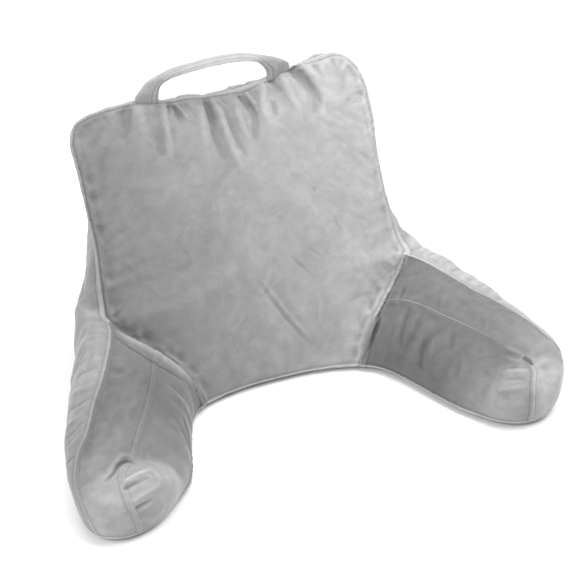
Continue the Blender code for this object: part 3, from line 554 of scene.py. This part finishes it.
# rows of (distance across, rise): positive is the side that the line turns towards
weltShapes = {
    "flat": [(-0.0060, 0.0), (-0.0034, -0.0010), (-0.0014, -0.0024), (0.0006, 0.0006),
             (0.0020, 0.0011), (0.0060, 0.0011), (0.0074, 0.0004), (0.0086, -0.0012),
             (0.0105, 0.0001), (0.0140, 0.0)],
    "felled": [(-0.0080, 0.0), (-0.0054, -0.0002), (-0.0042, -0.0006), (-0.0030, 0.0003),
               (0.0, 0.0004), (0.0026, 0.0006), (0.0038, 0.0), (0.0050, -0.0006),
               (0.0080, 0.0)],
    "ridge": [(-0.0060, 0.0), (-0.0024, -0.0005), (-0.0008, 0.0005), (0.0006, 0.0009),
              (0.0018, 0.0002), (0.0030, -0.0006), (0.0065, 0.0)],
    "dart": [(-0.0070, 0.0), (-0.0046, -0.0003), (-0.0036, -0.0012), (-0.0026, 0.0005),
             (0.0, 0.0007), (0.0026, 0.0005), (0.0036, -0.0012), (0.0046, -0.0003),
             (0.0070, 0.0)],
    "fine": [(-0.0050, 0.0), (-0.0020, -0.0004), (-0.0004, 0.0006), (0.0010, 0.0003),
             (0.0022, -0.0004), (0.0050, 0.0)],
    "plain": [(-0.0060, 0.0), (-0.0022, 0.0002), (0.0, -0.0012), (0.0022, 0.0002),
              (0.0060, 0.0)],
}
# line, welt, which side is inside, pucker height inside and outside, wave length, reach
sewing = [
    ("front", "flat", 1.0, 0.0006, 0.0018, 0.014, 0.010),
    ("rear", "plain", 1.0, 0.0008, 0.0008, 0.016, 0.012),
    ("outerRight", "ridge", 1.0, 0.0007, 0.0010, 0.012, 0.012),
    ("outerLeft", "felled", 1.0, 0.0006, 0.0008, 0.012, 0.012),
    ("spineRight", "fine", 1.0, 0.0006, 0.0006, 0.013, 0.010),
    ("spineLeft", "felled", 1.0, 0.0004, 0.0004, 0.014, 0.010),
    ("dartRight", "dart", 1.0, 0.0005, 0.0005, 0.010, 0.010),
    ("dartLeft", "felled", 1.0, 0.0005, 0.0005, 0.010, 0.010),
]
# the pile is painted paler along these, partly as wear and partly as a painted highlight on their crests:
# distance across, half width, how much paler
wearAndHighlightSeams = {
    "front": (0.0042, 0.0034, 0.22),
    "outerRight": (0.0006, 0.0014, 0.70),
    "outerLeft": (0.0010, 0.0024, 0.12),
    "spineRight": (0.0002, 0.0012, 0.60),
    "dartRight": (-0.0030, 0.0010, 0.35),
    "dartLeft": (-0.0030, 0.0010, 0.12),
}
wearAndHighlightFolds = [
    # the rolled cloth beside the left joint, painted pale as painted light, and the two sides of its welt,
    # painted paler as wear and painted highlight
    ([(-0.228, 0.010, 0.127), (-0.214, -0.011, 0.119), (-0.200, -0.022, 0.109),
      (-0.184, -0.030, 0.096), (-0.168, -0.036, 0.083), (-0.151, -0.041, 0.065),
      (-0.130, -0.040, 0.034)], 0.0100, 1.00),
    ([(-0.222, 0.042, 0.122), (-0.190, 0.014, 0.097), (-0.160, -0.010, 0.074),
      (-0.136, -0.030, 0.046), (-0.120, -0.038, 0.016)], 0.0060, 0.80),
    ([(0.222, 0.042, 0.122), (0.190, 0.014, 0.097), (0.160, -0.010, 0.074),
      (0.136, -0.030, 0.046), (0.120, -0.038, 0.016)], 0.0040, 0.10),
    # and the lips of the pucker folds, painted paler as painted highlights
    ([(0.245, -0.217, 0.072), (0.260, -0.224, 0.076), (0.277, -0.231, 0.078)], 0.0030, 0.35),
    ([(-0.303, -0.243, 0.078), (-0.284, -0.236, 0.079), (-0.262, -0.228, 0.076)], 0.0030, 0.25),
]
# shares of a seam's length between which it fades out
seamFades = {"spineRight": (0.55, 0.80), "spineLeft": (0.92, 1.0)}
# rows of (height, rise) of the piping round the underside
pipingShape = [(0.0040, 0.0), (0.0086, 0.0004), (0.0100, 0.0018), (0.0114, 0.0004),
               (0.0132, -0.0013), (0.0175, 0.0)]


def sewSeams(cover, lines):
    surface = surfaceOf(cover)
    rise = np.zeros(len(cover.data.vertices))
    wearAndHighlight = np.zeros(len(cover.data.vertices))
    for count, (name, welt, inside, within, without, length, reach) in enumerate(sewing):
        line = np.array([surface.find_nearest(Vector(p))[0] for p in lines[name]])
        lines[name] = line
        numbers, across, place, total = besideLine(cover, line, 0.045)
        shape = np.array(weltShapes[welt])
        ends = np.clip(np.minimum(place, total - place) / 0.010 + 1.0, 0.0, 1.0)
        if name in seamFades:
            ends = ends * np.interp(place / total, seamFades[name], (1.0, 0.15))
        rise[numbers] += np.interp(across * inside, shape[:, 0], shape[:, 1]) * ends
        # seam crests painted paler: partly wear, partly painted highlight
        if name in wearAndHighlightSeams:
            middle, halfWidth, paler = wearAndHighlightSeams[name]
            crest = np.exp(-((across * inside - middle) / halfWidth) ** 2)
            wearAndHighlight[numbers] = np.maximum(wearAndHighlight[numbers], paler * crest * ends)
        pucker = wave(place, length, 3.1 * count) * np.exp(-np.abs(np.abs(across) - 0.009) / reach)
        height = np.where(across * inside > 0.0, within, without)
        rise[numbers] += pucker * height * ends * np.clip((np.abs(across) - 0.004) / 0.005, 0.0, 1.0)
    normals = normalsOf(cover)
    upright = np.clip(1.0 - np.abs(normals[:, 2]), 0.0, 1.0)
    piping = np.interp(pointsOf(cover)[:, 2], *np.transpose(pipingShape))
    # the roll, welt sides and fold lips painted paler: painted light, partly wear
    for points, halfWidth, paler in wearAndHighlightFolds:
        line = np.array([surface.find_nearest(Vector(p))[0] for p in smoothLine(points)])
        numbers, across, place, total = besideLine(cover, line, halfWidth * 2.5)
        crest = np.exp(-(across / halfWidth) ** 2) * np.clip(np.sin(np.pi * place / total), 0.0, 1.0) ** 0.5
        wearAndHighlight[numbers] = np.maximum(wearAndHighlight[numbers], paler * crest)
    raised = pointsOf(cover) + normals * (rise + piping * upright)[:, None]
    movePoints(cover, raised)
    return wearAndHighlight


def pressFolds(cover):
    surface = surfaceOf(cover)
    rise = np.zeros(len(cover.data.vertices))
    for points, halfWidth, height, head in allFolds:
        line = smoothLine([onCloth(surface, p) for p in points], 0.0015)
        line = np.array([surface.find_nearest(Vector(p))[0] for p in line])
        numbers, across, place, total = besideLine(cover, line, halfWidth * 3.2)
        share = np.clip(place / total, 0.0, 1.0)
        fade = np.sin(np.pi * (share + head) / (1 + head))
        squared = (across / halfWidth) ** 2
        rise[numbers] += height * fade ** 0.7 * (1.0 - 0.35 * squared) * np.exp(-0.8 * squared)
    movePoints(cover, pointsOf(cover) + normalsOf(cover) * rise[:, None])


crumplePlan = [
    # wave length, height: soft unevenness of the filling, then of the cloth itself
    (0.060, 0.0016),
    (0.024, 0.0006),
    (0.011, 0.00022),
]


def crumple(cover):
    pts = pointsOf(cover)
    rise = np.zeros(len(pts))
    for number, (length, height) in enumerate(crumplePlan):
        offset = Vector((3.7 * number, 1.3, 5.1))
        rise += height * np.array([noise.noise(Vector(p / length) + offset) for p in pts])
    rise *= np.clip((pts[:, 2] - coverPlan["floorHeight"]) / 0.02, 0.0, 1.0)
    movePoints(cover, pts + normalsOf(cover) * rise[:, None])


# The pile leans another way on each panel, so each takes the light differently; painted light is laid on
# too: darker to the left and lighter to the right as if lit from the right, a painted sheen on the band's
# right, and arm ends painted paler as if facing the light.
# panel: a place on it, its shade at the left edge, in the middle and at the right edge,
# and the shade of an arm's end
panelPlan = {
    "frontPanel": ((0.0, -0.020, 0.180), (0.138, 0.235, 0.345), None),
    "armTopLeft": ((-0.275, -0.090, 0.115), (0.110, 0.110, 0.110), 0.240),
    "armInnerLeft": ((-0.205, -0.160, 0.060), (0.125, 0.125, 0.125), 0.180),
    "armTopRight": ((0.275, -0.090, 0.115), (0.125, 0.125, 0.125), 0.270),
    "armInnerRight": ((0.205, -0.160, 0.060), (0.112, 0.112, 0.112), 0.215),
    "sideBand": ((0.0, 0.235, 0.345), (0.200, 0.280, 0.300), None),
    "rearPanel": ((0.0, 0.270, 0.180), (0.240, 0.250, 0.260), None),
}
pilePlan = {
    "seamReach": 0.0032,
    "edges": (-0.23, 0.0, 0.23),
    "endFrom": -0.140,       # y where the arm ends start to be painted paler as painted light, and where they are palest
    "endTo": -0.235,
    "under": 0.22,
    # tone of the piping round the base, painted pale as a painted highlight on its cord
    "piping": 0.42,
}


def panelOf(cover, lines):
    # walks over the cloth from one place on each panel until it meets a seam
    surface = surfaceOf(cover)
    tree = treeOf([surface.find_nearest(Vector(p))[0] for line in lines.values() for p in line])
    mesh = cover.data
    pts = pointsOf(cover)
    count = len(pts)
    closed = np.zeros(count, dtype=bool)
    for i in range(count):
        closed[i] = tree.find(pts[i])[2] < pilePlan["seamReach"]
    closed |= pts[:, 2] < coverPlan["floorHeight"]
    beside = [[] for _ in range(count)]
    for edge in mesh.edges:
        a, b = edge.vertices
        beside[a].append(b)
        beside[b].append(a)
    openPoints = np.where(~closed)[0]
    openTree = treeOf(pts[openPoints])
    panel = np.full(count, -1)
    for number, (place, *_) in enumerate(panelPlan.values()):
        start = int(openPoints[openTree.find(place)[1]])
        if panel[start] >= 0:
            print("panel already reached:", list(panelPlan)[number])
            continue
        panel[start] = number
        todo = [start]
        while todo:
            at = todo.pop()
            for other in beside[at]:
                if panel[other] < 0 and not closed[other]:
                    panel[other] = number
                    todo.append(other)
    reached = np.where(panel >= 0)[0]
    nearest = treeOf(pts[reached])
    for i in np.where((panel < 0) & (pts[:, 2] >= coverPlan["floorHeight"] - 0.004))[0]:
        panel[i] = panel[reached[nearest.find(pts[i])[1]]]
    return panel


panelNow = panelOf(cover, seamLinesNow)
crumple(cover)
wearAndHighlightNow = sewSeams(cover, seamLinesNow)
print("seams sewn")
pressFolds(cover)
print("folds pressed:", len(allFolds))

pts = pointsOf(cover)
pts[:, 2] = np.maximum(pts[:, 2], 0.0)
movePoints(cover, pts)
pickOnly(cover)
bpy.ops.object.shade_smooth()
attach(cover, "root")
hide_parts("back_cushion", "arm_left", "arm_right")


def paintPileToneAndLight(cover, panel, wearAndHighlight):
    pts = pointsOf(cover)
    shade = np.full(len(pts), pilePlan["under"])
    for number, (name, (_, shades, endToneAndLight)) in enumerate(panelPlan.items()):
        mine = panel == number
        print("panel", name, int(mine.sum()), "points")
        # the panel's tone from left to right, with painted shade on the left and painted light on the right
        shade[mine] = np.interp(pts[mine, 0], pilePlan["edges"], shades)
        # arm ends painted paler towards their tips: painted light over the pile's own tone
        if endToneAndLight:
            towards = np.clip((pts[mine, 1] - pilePlan["endFrom"])
                              / (pilePlan["endTo"] - pilePlan["endFrom"]), 0.0, 1.0)
            shade[mine] += (endToneAndLight - shade[mine]) * towards ** 1.5
    # seams, welts, the roll and fold lips painted paler: partly wear, partly painted highlight
    shade *= 1.0 + wearAndHighlight
    # the piping cord round the base painted paler: a painted highlight
    piped = np.clip(1.0 - np.abs(pts[:, 2] - coverPlan["baseSeam"]) / 0.0018, 0.0, 1.0)
    shade += (pilePlan["piping"] - shade) * piped
    # the pile's tone together with the painted light, painted shade and painted highlights laid on above
    addLayer(cover, "pileToneAndLight", shade)


def addLayer(piece, name, values):
    layer = piece.data.attributes.new(name, "FLOAT", "POINT")
    layer.data.foreach_set("value", values.astype(np.float32))


def foldShadingAndWearOf(piece, passes, fullAt):
    # 1 on the crest of a fold and -1 in its bottom: crests painted paler, partly as wear and partly as a
    # painted highlight, bottoms painted darker as painted shade
    pts = pointsOf(piece)
    proud = np.einsum("ij,ij->i", pts - calmed(piece, pts, passes), normalsOf(piece))
    return np.clip(proud / fullAt, -1.0, 1.0)


paintPileToneAndLight(cover, panelNow, wearAndHighlightNow)
# painted shade in the bottoms of the folds, painted highlight and wear on their crests
addLayer(cover, "foldShadingAndWear", foldShadingAndWearOf(cover, 30, 0.0009))
print("pile shaded")


velourPlan = {
    "roughness": 0.9,
    "sheen": 0.35,
    "sheenRoughness": 0.35,
    "bump": 0.35,
    "bumpHeight": 0.0005,
}
# sockets of the shared pile effect and what they start at
pileSockets = [("Lie And Light", 0.3), ("Fold Shading And Wear", 0.0), ("Brushing", 0.13), ("Fold Shading And Wear Strength", 0.20),
               ("Fuzz", 0.06), ("Blue", 1.012)]


def pileEffect():
    # brushed marks, folds painted darker in their bottoms as painted shade and paler on their crests as
    # painted highlight and wear, and the short upright pile, for every velour piece
    group = bpy.data.node_groups.new("velour pile", "ShaderNodeTree")
    for name, start in pileSockets:
        socket = group.interface.new_socket(name, in_out="INPUT", socket_type="NodeSocketFloat")
        socket.default_value = start
    group.interface.new_socket("Color", in_out="OUTPUT", socket_type="NodeSocketColor")
    group.interface.new_socket("Height", in_out="OUTPUT", socket_type="NodeSocketFloat")
    nodes, links = group.nodes, group.links
    given = nodes.new("NodeGroupInput")
    result = nodes.new("NodeGroupOutput")
    where = nodes.new("ShaderNodeTexCoord")

    def noiseAt(scale, detail, distortion):
        texture = nodes.new("ShaderNodeTexNoise")
        texture.inputs["Scale"].default_value = scale
        texture.inputs["Detail"].default_value = detail
        texture.inputs["Distortion"].default_value = distortion
        links.new(where.outputs["Object"], texture.inputs["Vector"])
        return texture.outputs["Fac"]

    def reckon(operation, first, second):
        node = nodes.new("ShaderNodeMath")
        node.operation = operation
        for socket, value in zip(node.inputs, (first, second)):
            if isinstance(value, float):
                socket.default_value = value
            else:
                links.new(value, socket)
        return node.outputs["Value"]

    def spread(texture, low, high):
        # a noise around its middle as -1 to 1
        node = nodes.new("ShaderNodeMapRange")
        node.inputs["From Min"].default_value = low
        node.inputs["From Max"].default_value = high
        node.inputs["To Min"].default_value = -1.0
        node.inputs["To Max"].default_value = 1.0
        links.new(texture, node.inputs["Value"])
        return node.outputs["Result"]

    broad = spread(noiseAt(7.0, 3.0, 1.6), 0.36, 0.64)
    small = spread(noiseAt(26.0, 3.0, 2.2), 0.38, 0.62)
    fuzz = spread(noiseAt(420.0, 2.0, 0.0), 0.25, 0.75)
    pile = noiseAt(1100.0, 1.0, 0.0)
    marks = reckon("ADD", reckon("MULTIPLY", broad, 0.55), reckon("MULTIPLY", small, 0.45))
    # the pile's tone, painted light included
    shade = given.outputs["Lie And Light"]
    # the brushed marks, the painted fold shade and highlight, and the fuzz, each as a factor
    for effect, strength in ((marks, "Brushing"), (given.outputs["Fold Shading And Wear"], "Fold Shading And Wear Strength"),
                             (fuzz, "Fuzz")):
        factor = reckon("ADD", reckon("MULTIPLY", effect, given.outputs[strength]), 1.0)
        shade = reckon("MULTIPLY", shade, factor)
    tone = nodes.new("ShaderNodeCombineColor")
    links.new(shade, tone.inputs["Red"])
    links.new(shade, tone.inputs["Green"])
    links.new(reckon("MULTIPLY", shade, given.outputs["Blue"]), tone.inputs["Blue"])
    links.new(tone.outputs["Color"], result.inputs["Color"])
    links.new(reckon("ADD", reckon("MULTIPLY", pile, 0.6), reckon("MULTIPLY", fuzz, 0.2)),
              result.inputs["Height"])
    return group


pileGroup = pileEffect()


def velour(name):
    material = bpy.data.materials.new(name)
    material.use_nodes = True
    nodes, links = material.node_tree.nodes, material.node_tree.links
    shader = nodes["Principled BSDF"]
    shader.inputs["Roughness"].default_value = velourPlan["roughness"]
    shader.inputs["Sheen Weight"].default_value = velourPlan["sheen"]
    shader.inputs["Sheen Roughness"].default_value = velourPlan["sheenRoughness"]
    effect = nodes.new("ShaderNodeGroup")
    effect.node_tree = pileGroup
    for layer, socket in (("pileToneAndLight", "Lie And Light"), ("foldShadingAndWear", "Fold Shading And Wear")):
        node = nodes.new("ShaderNodeAttribute")
        node.attribute_name = layer
        links.new(node.outputs["Fac"], effect.inputs[socket])
    links.new(effect.outputs["Color"], shader.inputs["Base Color"])
    bump = nodes.new("ShaderNodeBump")
    bump.inputs["Strength"].default_value = velourPlan["bump"]
    bump.inputs["Distance"].default_value = velourPlan["bumpHeight"]
    links.new(effect.outputs["Height"], bump.inputs["Height"])
    links.new(bump.outputs["Normal"], shader.inputs["Normal"])
    return material


cover.data.materials.append(velour("grey_velour"))
print("velour laid on")

# the strap's edges in the drawing's y: outer turned to the rear, inner turned to the front
strapPlan = {
    "edges": [
        # outer x, y, z, inner x, y, z
        (-0.1170, 0.1515, 0.3570, -0.0820, 0.1515, 0.3500),
        (-0.1165, 0.1505, 0.3650, -0.0820, 0.1505, 0.3590),
        (-0.1115, 0.1500, 0.3730, -0.0815, 0.1490, 0.3690),
        (-0.1000, 0.1510, 0.3850, -0.0790, 0.1460, 0.3800),
        (-0.0810, 0.1530, 0.3925, -0.0700, 0.1400, 0.3895),
        (-0.0580, 0.1550, 0.3985, -0.0500, 0.1330, 0.3975),
        (-0.0320, 0.1565, 0.4005, -0.0290, 0.1290, 0.4020),
        (0.0000, 0.1570, 0.4035, 0.0000, 0.1270, 0.4050),
        (0.0280, 0.1570, 0.4035, 0.0250, 0.1275, 0.4045),
        (0.0540, 0.1565, 0.4000, 0.0480, 0.1300, 0.4005),
        (0.0790, 0.1545, 0.3935, 0.0630, 0.1370, 0.3925),
        (0.1000, 0.1520, 0.3870, 0.0740, 0.1450, 0.3810),
        (0.1155, 0.1505, 0.3775, 0.0805, 0.1495, 0.3700),
        (0.1170, 0.1515, 0.3660, 0.0820, 0.1515, 0.3525),
    ],
    "along": 150,            # faces along it and across it
    "across": 22,
    "thickness": 0.0024,
    "arch": 0.0055,          # its middle stands up this much
    "flat": (0.033, 0.262),  # folded width and length, before it was sewn on
    "shade": 0.29,
}
# share across the strap, rise: two stitched edges and a fold near the front edge
strapRelief = [(0.0, -0.0008), (0.05, 0.0003), (0.085, -0.0006), (0.12, 0.0005), (0.5, 0.0002),
               (0.64, 0.0006), (0.72, -0.0012), (0.79, 0.0010), (0.88, 0.0006),
               (0.915, -0.0007), (0.95, 0.0004), (1.0, -0.0008)]


def makeStrap():
    plan = strapPlan
    bpy.ops.object.select_all(action="DESELECT")
    bpy.ops.mesh.primitive_grid_add(x_subdivisions=plan["along"], y_subdivisions=plan["across"],
                                    size=2.0)
    strap = bpy.context.active_object
    strap.name = "carrying_strap"
    strap.data.name = "carrying_strap"
    edges = np.array(plan["edges"])
    steps = np.linalg.norm(np.diff((edges[:, :3] + edges[:, 3:]) / 2, axis=0), axis=1)
    knots = np.concatenate([[0.0], np.cumsum(steps)]) / steps.sum()
    slopes = np.gradient(edges, knots, axis=0)

    def edgeAt(share):
        i = min(int(np.searchsorted(knots, share, side="right")) - 1, len(knots) - 2)
        span = knots[i + 1] - knots[i]
        u = (share - knots[i]) / span
        return ((2 * u ** 3 - 3 * u ** 2 + 1) * edges[i] + (u ** 3 - 2 * u ** 2 + u) * span * slopes[i]
                + (3 * u ** 2 - 2 * u ** 3) * edges[i + 1] + (u ** 3 - u ** 2) * span * slopes[i + 1])

    relief = np.transpose(strapRelief)
    pts = pointsOf(strap)
    for n, (gx, gy, _) in enumerate(pts.copy()):
        share, u = (gx + 1.0) / 2.0, (gy + 1.0) / 2.0
        edge, ahead = edgeAt(share), edgeAt(min(share + 0.01, 1.0))
        behind = edgeAt(max(share - 0.01, 0.0))
        across = edge[3:] - edge[:3]
        travel = (ahead - behind)[:3] + (ahead - behind)[3:]
        up = np.cross(across, travel)
        up = up / np.linalg.norm(up)
        arch = plan["arch"] * up[2] ** 2 * math.sin(math.pi * u ** 1.5)
        pucker = 0.0004 * noise.noise(Vector((share * 38.0, u * 2.0, 7.7)))
        height = arch + np.interp(u, *relief) + pucker
        pts[n] = edge[:3] + across * u + up * height + [0.0, drawingStep, 0.0]
    movePoints(strap, pts)
    wall = strap.modifiers.new("layers", "SOLIDIFY")
    wall.thickness = plan["thickness"]
    wall.offset = 0.0
    roundPart = strap.modifiers.new("soft", "SUBSURF")
    roundPart.levels = 1
    roundPart.render_levels = 1
    applyAll(strap)
    bpy.ops.object.mode_set(mode="EDIT")
    bpy.ops.mesh.select_all(action="SELECT")
    bpy.ops.mesh.normals_make_consistent(inside=False)
    bpy.ops.object.mode_set(mode="OBJECT")
    bpy.ops.object.shade_smooth()
    addLayer(strap, "pileToneAndLight", np.full(len(strap.data.vertices), plan["shade"]))
    # its folds too: painted shade in their bottoms, painted highlight and wear on their crests
    addLayer(strap, "foldShadingAndWear", foldShadingAndWearOf(strap, 12, 0.0004))
    strap.data.materials.append(velour("grey_strap_velour"))
    return strap


strap = makeStrap()
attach(strap, "root")
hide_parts("handle")
print("strap sewn on:", len(strap.data.vertices), "points")

threadPlan = {
    "length": 0.0025,
    "step": 0.0035,
    "thickness": 0.00045,
    "rise": 0.0001,          # how far its middle stands off the cloth
}
# seam, distances across of its rows of stitches
stitchRows = [
    ("front", (0.0021, 0.0068)),
    ("rear", (0.0032,)),
    ("outerRight", (0.0034,)),
    ("outerLeft", (-0.0040, 0.0036)),
    ("spineRight", (0.0030,)),
    ("spineLeft", (-0.0040, 0.0036)),
    ("dartRight", (-0.0040, 0.0036)),
    ("dartLeft", (-0.0040, 0.0036)),
]


def makeStitches(cover, lines):
    plan = threadPlan
    bpy.ops.object.select_all(action="DESELECT")
    bpy.ops.mesh.primitive_uv_sphere_add(segments=6, ring_count=4, radius=0.5)
    stitch = bpy.context.active_object
    bpy.ops.object.mode_set(mode="EDIT")
    bpy.ops.mesh.select_all(action="SELECT")
    bpy.ops.transform.resize(value=(plan["thickness"], plan["thickness"], plan["length"]))
    bpy.ops.object.mode_set(mode="OBJECT")
    shape = pointsOf(stitch)
    faces = [list(face.vertices) for face in stitch.data.polygons]
    bpy.data.objects.remove(stitch)
    surface = surfaceOf(cover)
    allPoints, allFaces = [], []
    for name, rows in stitchRows:
        travel = np.gradient(lines[name], axis=0)
        for across in rows:
            spots = []
            for p, way in zip(lines[name], travel):
                near, normal = surface.find_nearest(Vector(p))[:2]
                way = Vector(way).normalized()
                side = way.cross(normal).normalized()
                spots.append(surface.find_nearest(near + side * across)[0])
            spots = evenly(np.array(spots), plan["step"])
            for a, b in zip(spots, spots[1:]):
                middle = Vector((a + b) / 2)
                near, normal = surface.find_nearest(middle)[:2]
                way = Vector(b - a).normalized()
                side = way.cross(normal).normalized()
                turn = np.array([side, side.cross(way) * -1.0, way])
                start = len(allPoints) * len(shape)
                allPoints.append(shape @ turn + np.array(near + normal * plan["rise"]))
                allFaces += [[start + k for k in face] for face in faces]
    mesh = bpy.data.meshes.new("seam_stitches")
    mesh.from_pydata(np.vstack(allPoints).tolist(), [], allFaces)
    stitches = bpy.data.objects.new("seam_stitches", mesh)
    bpy.context.scene.collection.objects.link(stitches)
    pickOnly(stitches)
    bpy.ops.object.mode_set(mode="EDIT")
    bpy.ops.mesh.select_all(action="SELECT")
    bpy.ops.mesh.normals_make_consistent(inside=False)
    bpy.ops.object.mode_set(mode="OBJECT")
    bpy.ops.object.shade_smooth()
    return stitches


def threadMaterial():
    material = bpy.data.materials.new("grey_thread")
    material.use_nodes = True
    nodes, links = material.node_tree.nodes, material.node_tree.links
    shader = nodes["Principled BSDF"]
    shader.inputs["Roughness"].default_value = 0.55
    where = nodes.new("ShaderNodeTexCoord")
    twist = nodes.new("ShaderNodeTexNoise")
    twist.inputs["Scale"].default_value = 1400.0
    links.new(where.outputs["Object"], twist.inputs["Vector"])
    tone = nodes.new("ShaderNodeValToRGB")
    tone.color_ramp.elements[0].position = 0.35
    tone.color_ramp.elements[0].color = (0.24, 0.24, 0.245, 1.0)
    tone.color_ramp.elements[1].position = 0.65
    tone.color_ramp.elements[1].color = (0.36, 0.36, 0.365, 1.0)
    links.new(twist.outputs["Fac"], tone.inputs["Fac"])
    links.new(tone.outputs["Color"], shader.inputs["Base Color"])
    ply = nodes.new("ShaderNodeBump")
    ply.inputs["Strength"].default_value = 0.5
    ply.inputs["Distance"].default_value = 0.0002
    links.new(twist.outputs["Fac"], ply.inputs["Height"])
    links.new(ply.outputs["Normal"], shader.inputs["Normal"])
    return material


stitches = makeStitches(cover, seamLinesNow)
stitches.data.materials.append(threadMaterial())
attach(stitches, "root")
print("stitches sewn:", len(stitches.data.polygons), "faces")


target = Vector(studio["target"])
camera = bpy.data.objects.new("camera", bpy.data.cameras.new("camera"))
bpy.context.scene.collection.objects.link(camera)
camera.data.lens = studio["lens"]
camera.data.sensor_width = studio["sensor"]
camera.location = target + towardsCamera() * studio["distance"]
camera.rotation_euler = (-towardsCamera()).to_track_quat("-Z", "Y").to_euler()
bpy.context.scene.camera = camera
bpy.context.scene.view_settings.view_transform = "Standard"

bpy.ops.object.select_all(action="DESELECT")
bpy.ops.mesh.primitive_plane_add(size=12.0, location=(0.0, 0.0, 0.0))
floor = bpy.context.active_object
floor.name = "floor"
paper = bpy.data.materials.new("white_paper")
paper.use_nodes = True
paper.node_tree.nodes["Principled BSDF"].inputs["Base Color"].default_value = (0.9, 0.9, 0.9, 1.0)
paper.node_tree.nodes["Principled BSDF"].inputs["Roughness"].default_value = 0.9
floor.data.materials.append(paper)

lamps = [
    # name, place, size, watts
    ("key", (1.1, -0.5, 2.2), 2.0, 62.0),
    ("side", (-1.9, -0.9, 1.5), 1.6, 36.0),
    ("top", (-0.2, 0.9, 2.4), 1.6, 32.0),
]
for name, place, size, watts in lamps:
    lamp = bpy.data.objects.new(name, bpy.data.lights.new(name, "AREA"))
    lamp.data.energy = watts
    lamp.data.size = size
    lamp.location = place
    lamp.rotation_euler = (target - Vector(place)).to_track_quat("-Z", "Y").to_euler()
    bpy.context.scene.collection.objects.link(lamp)

world = bpy.data.worlds.new("studio")
bpy.context.scene.world = world
world.use_nodes = True
world.node_tree.nodes["Background"].inputs["Color"].default_value = (1.0, 1.0, 1.0, 1.0)
world.node_tree.nodes["Background"].inputs["Strength"].default_value = 0.5
print("studio set")
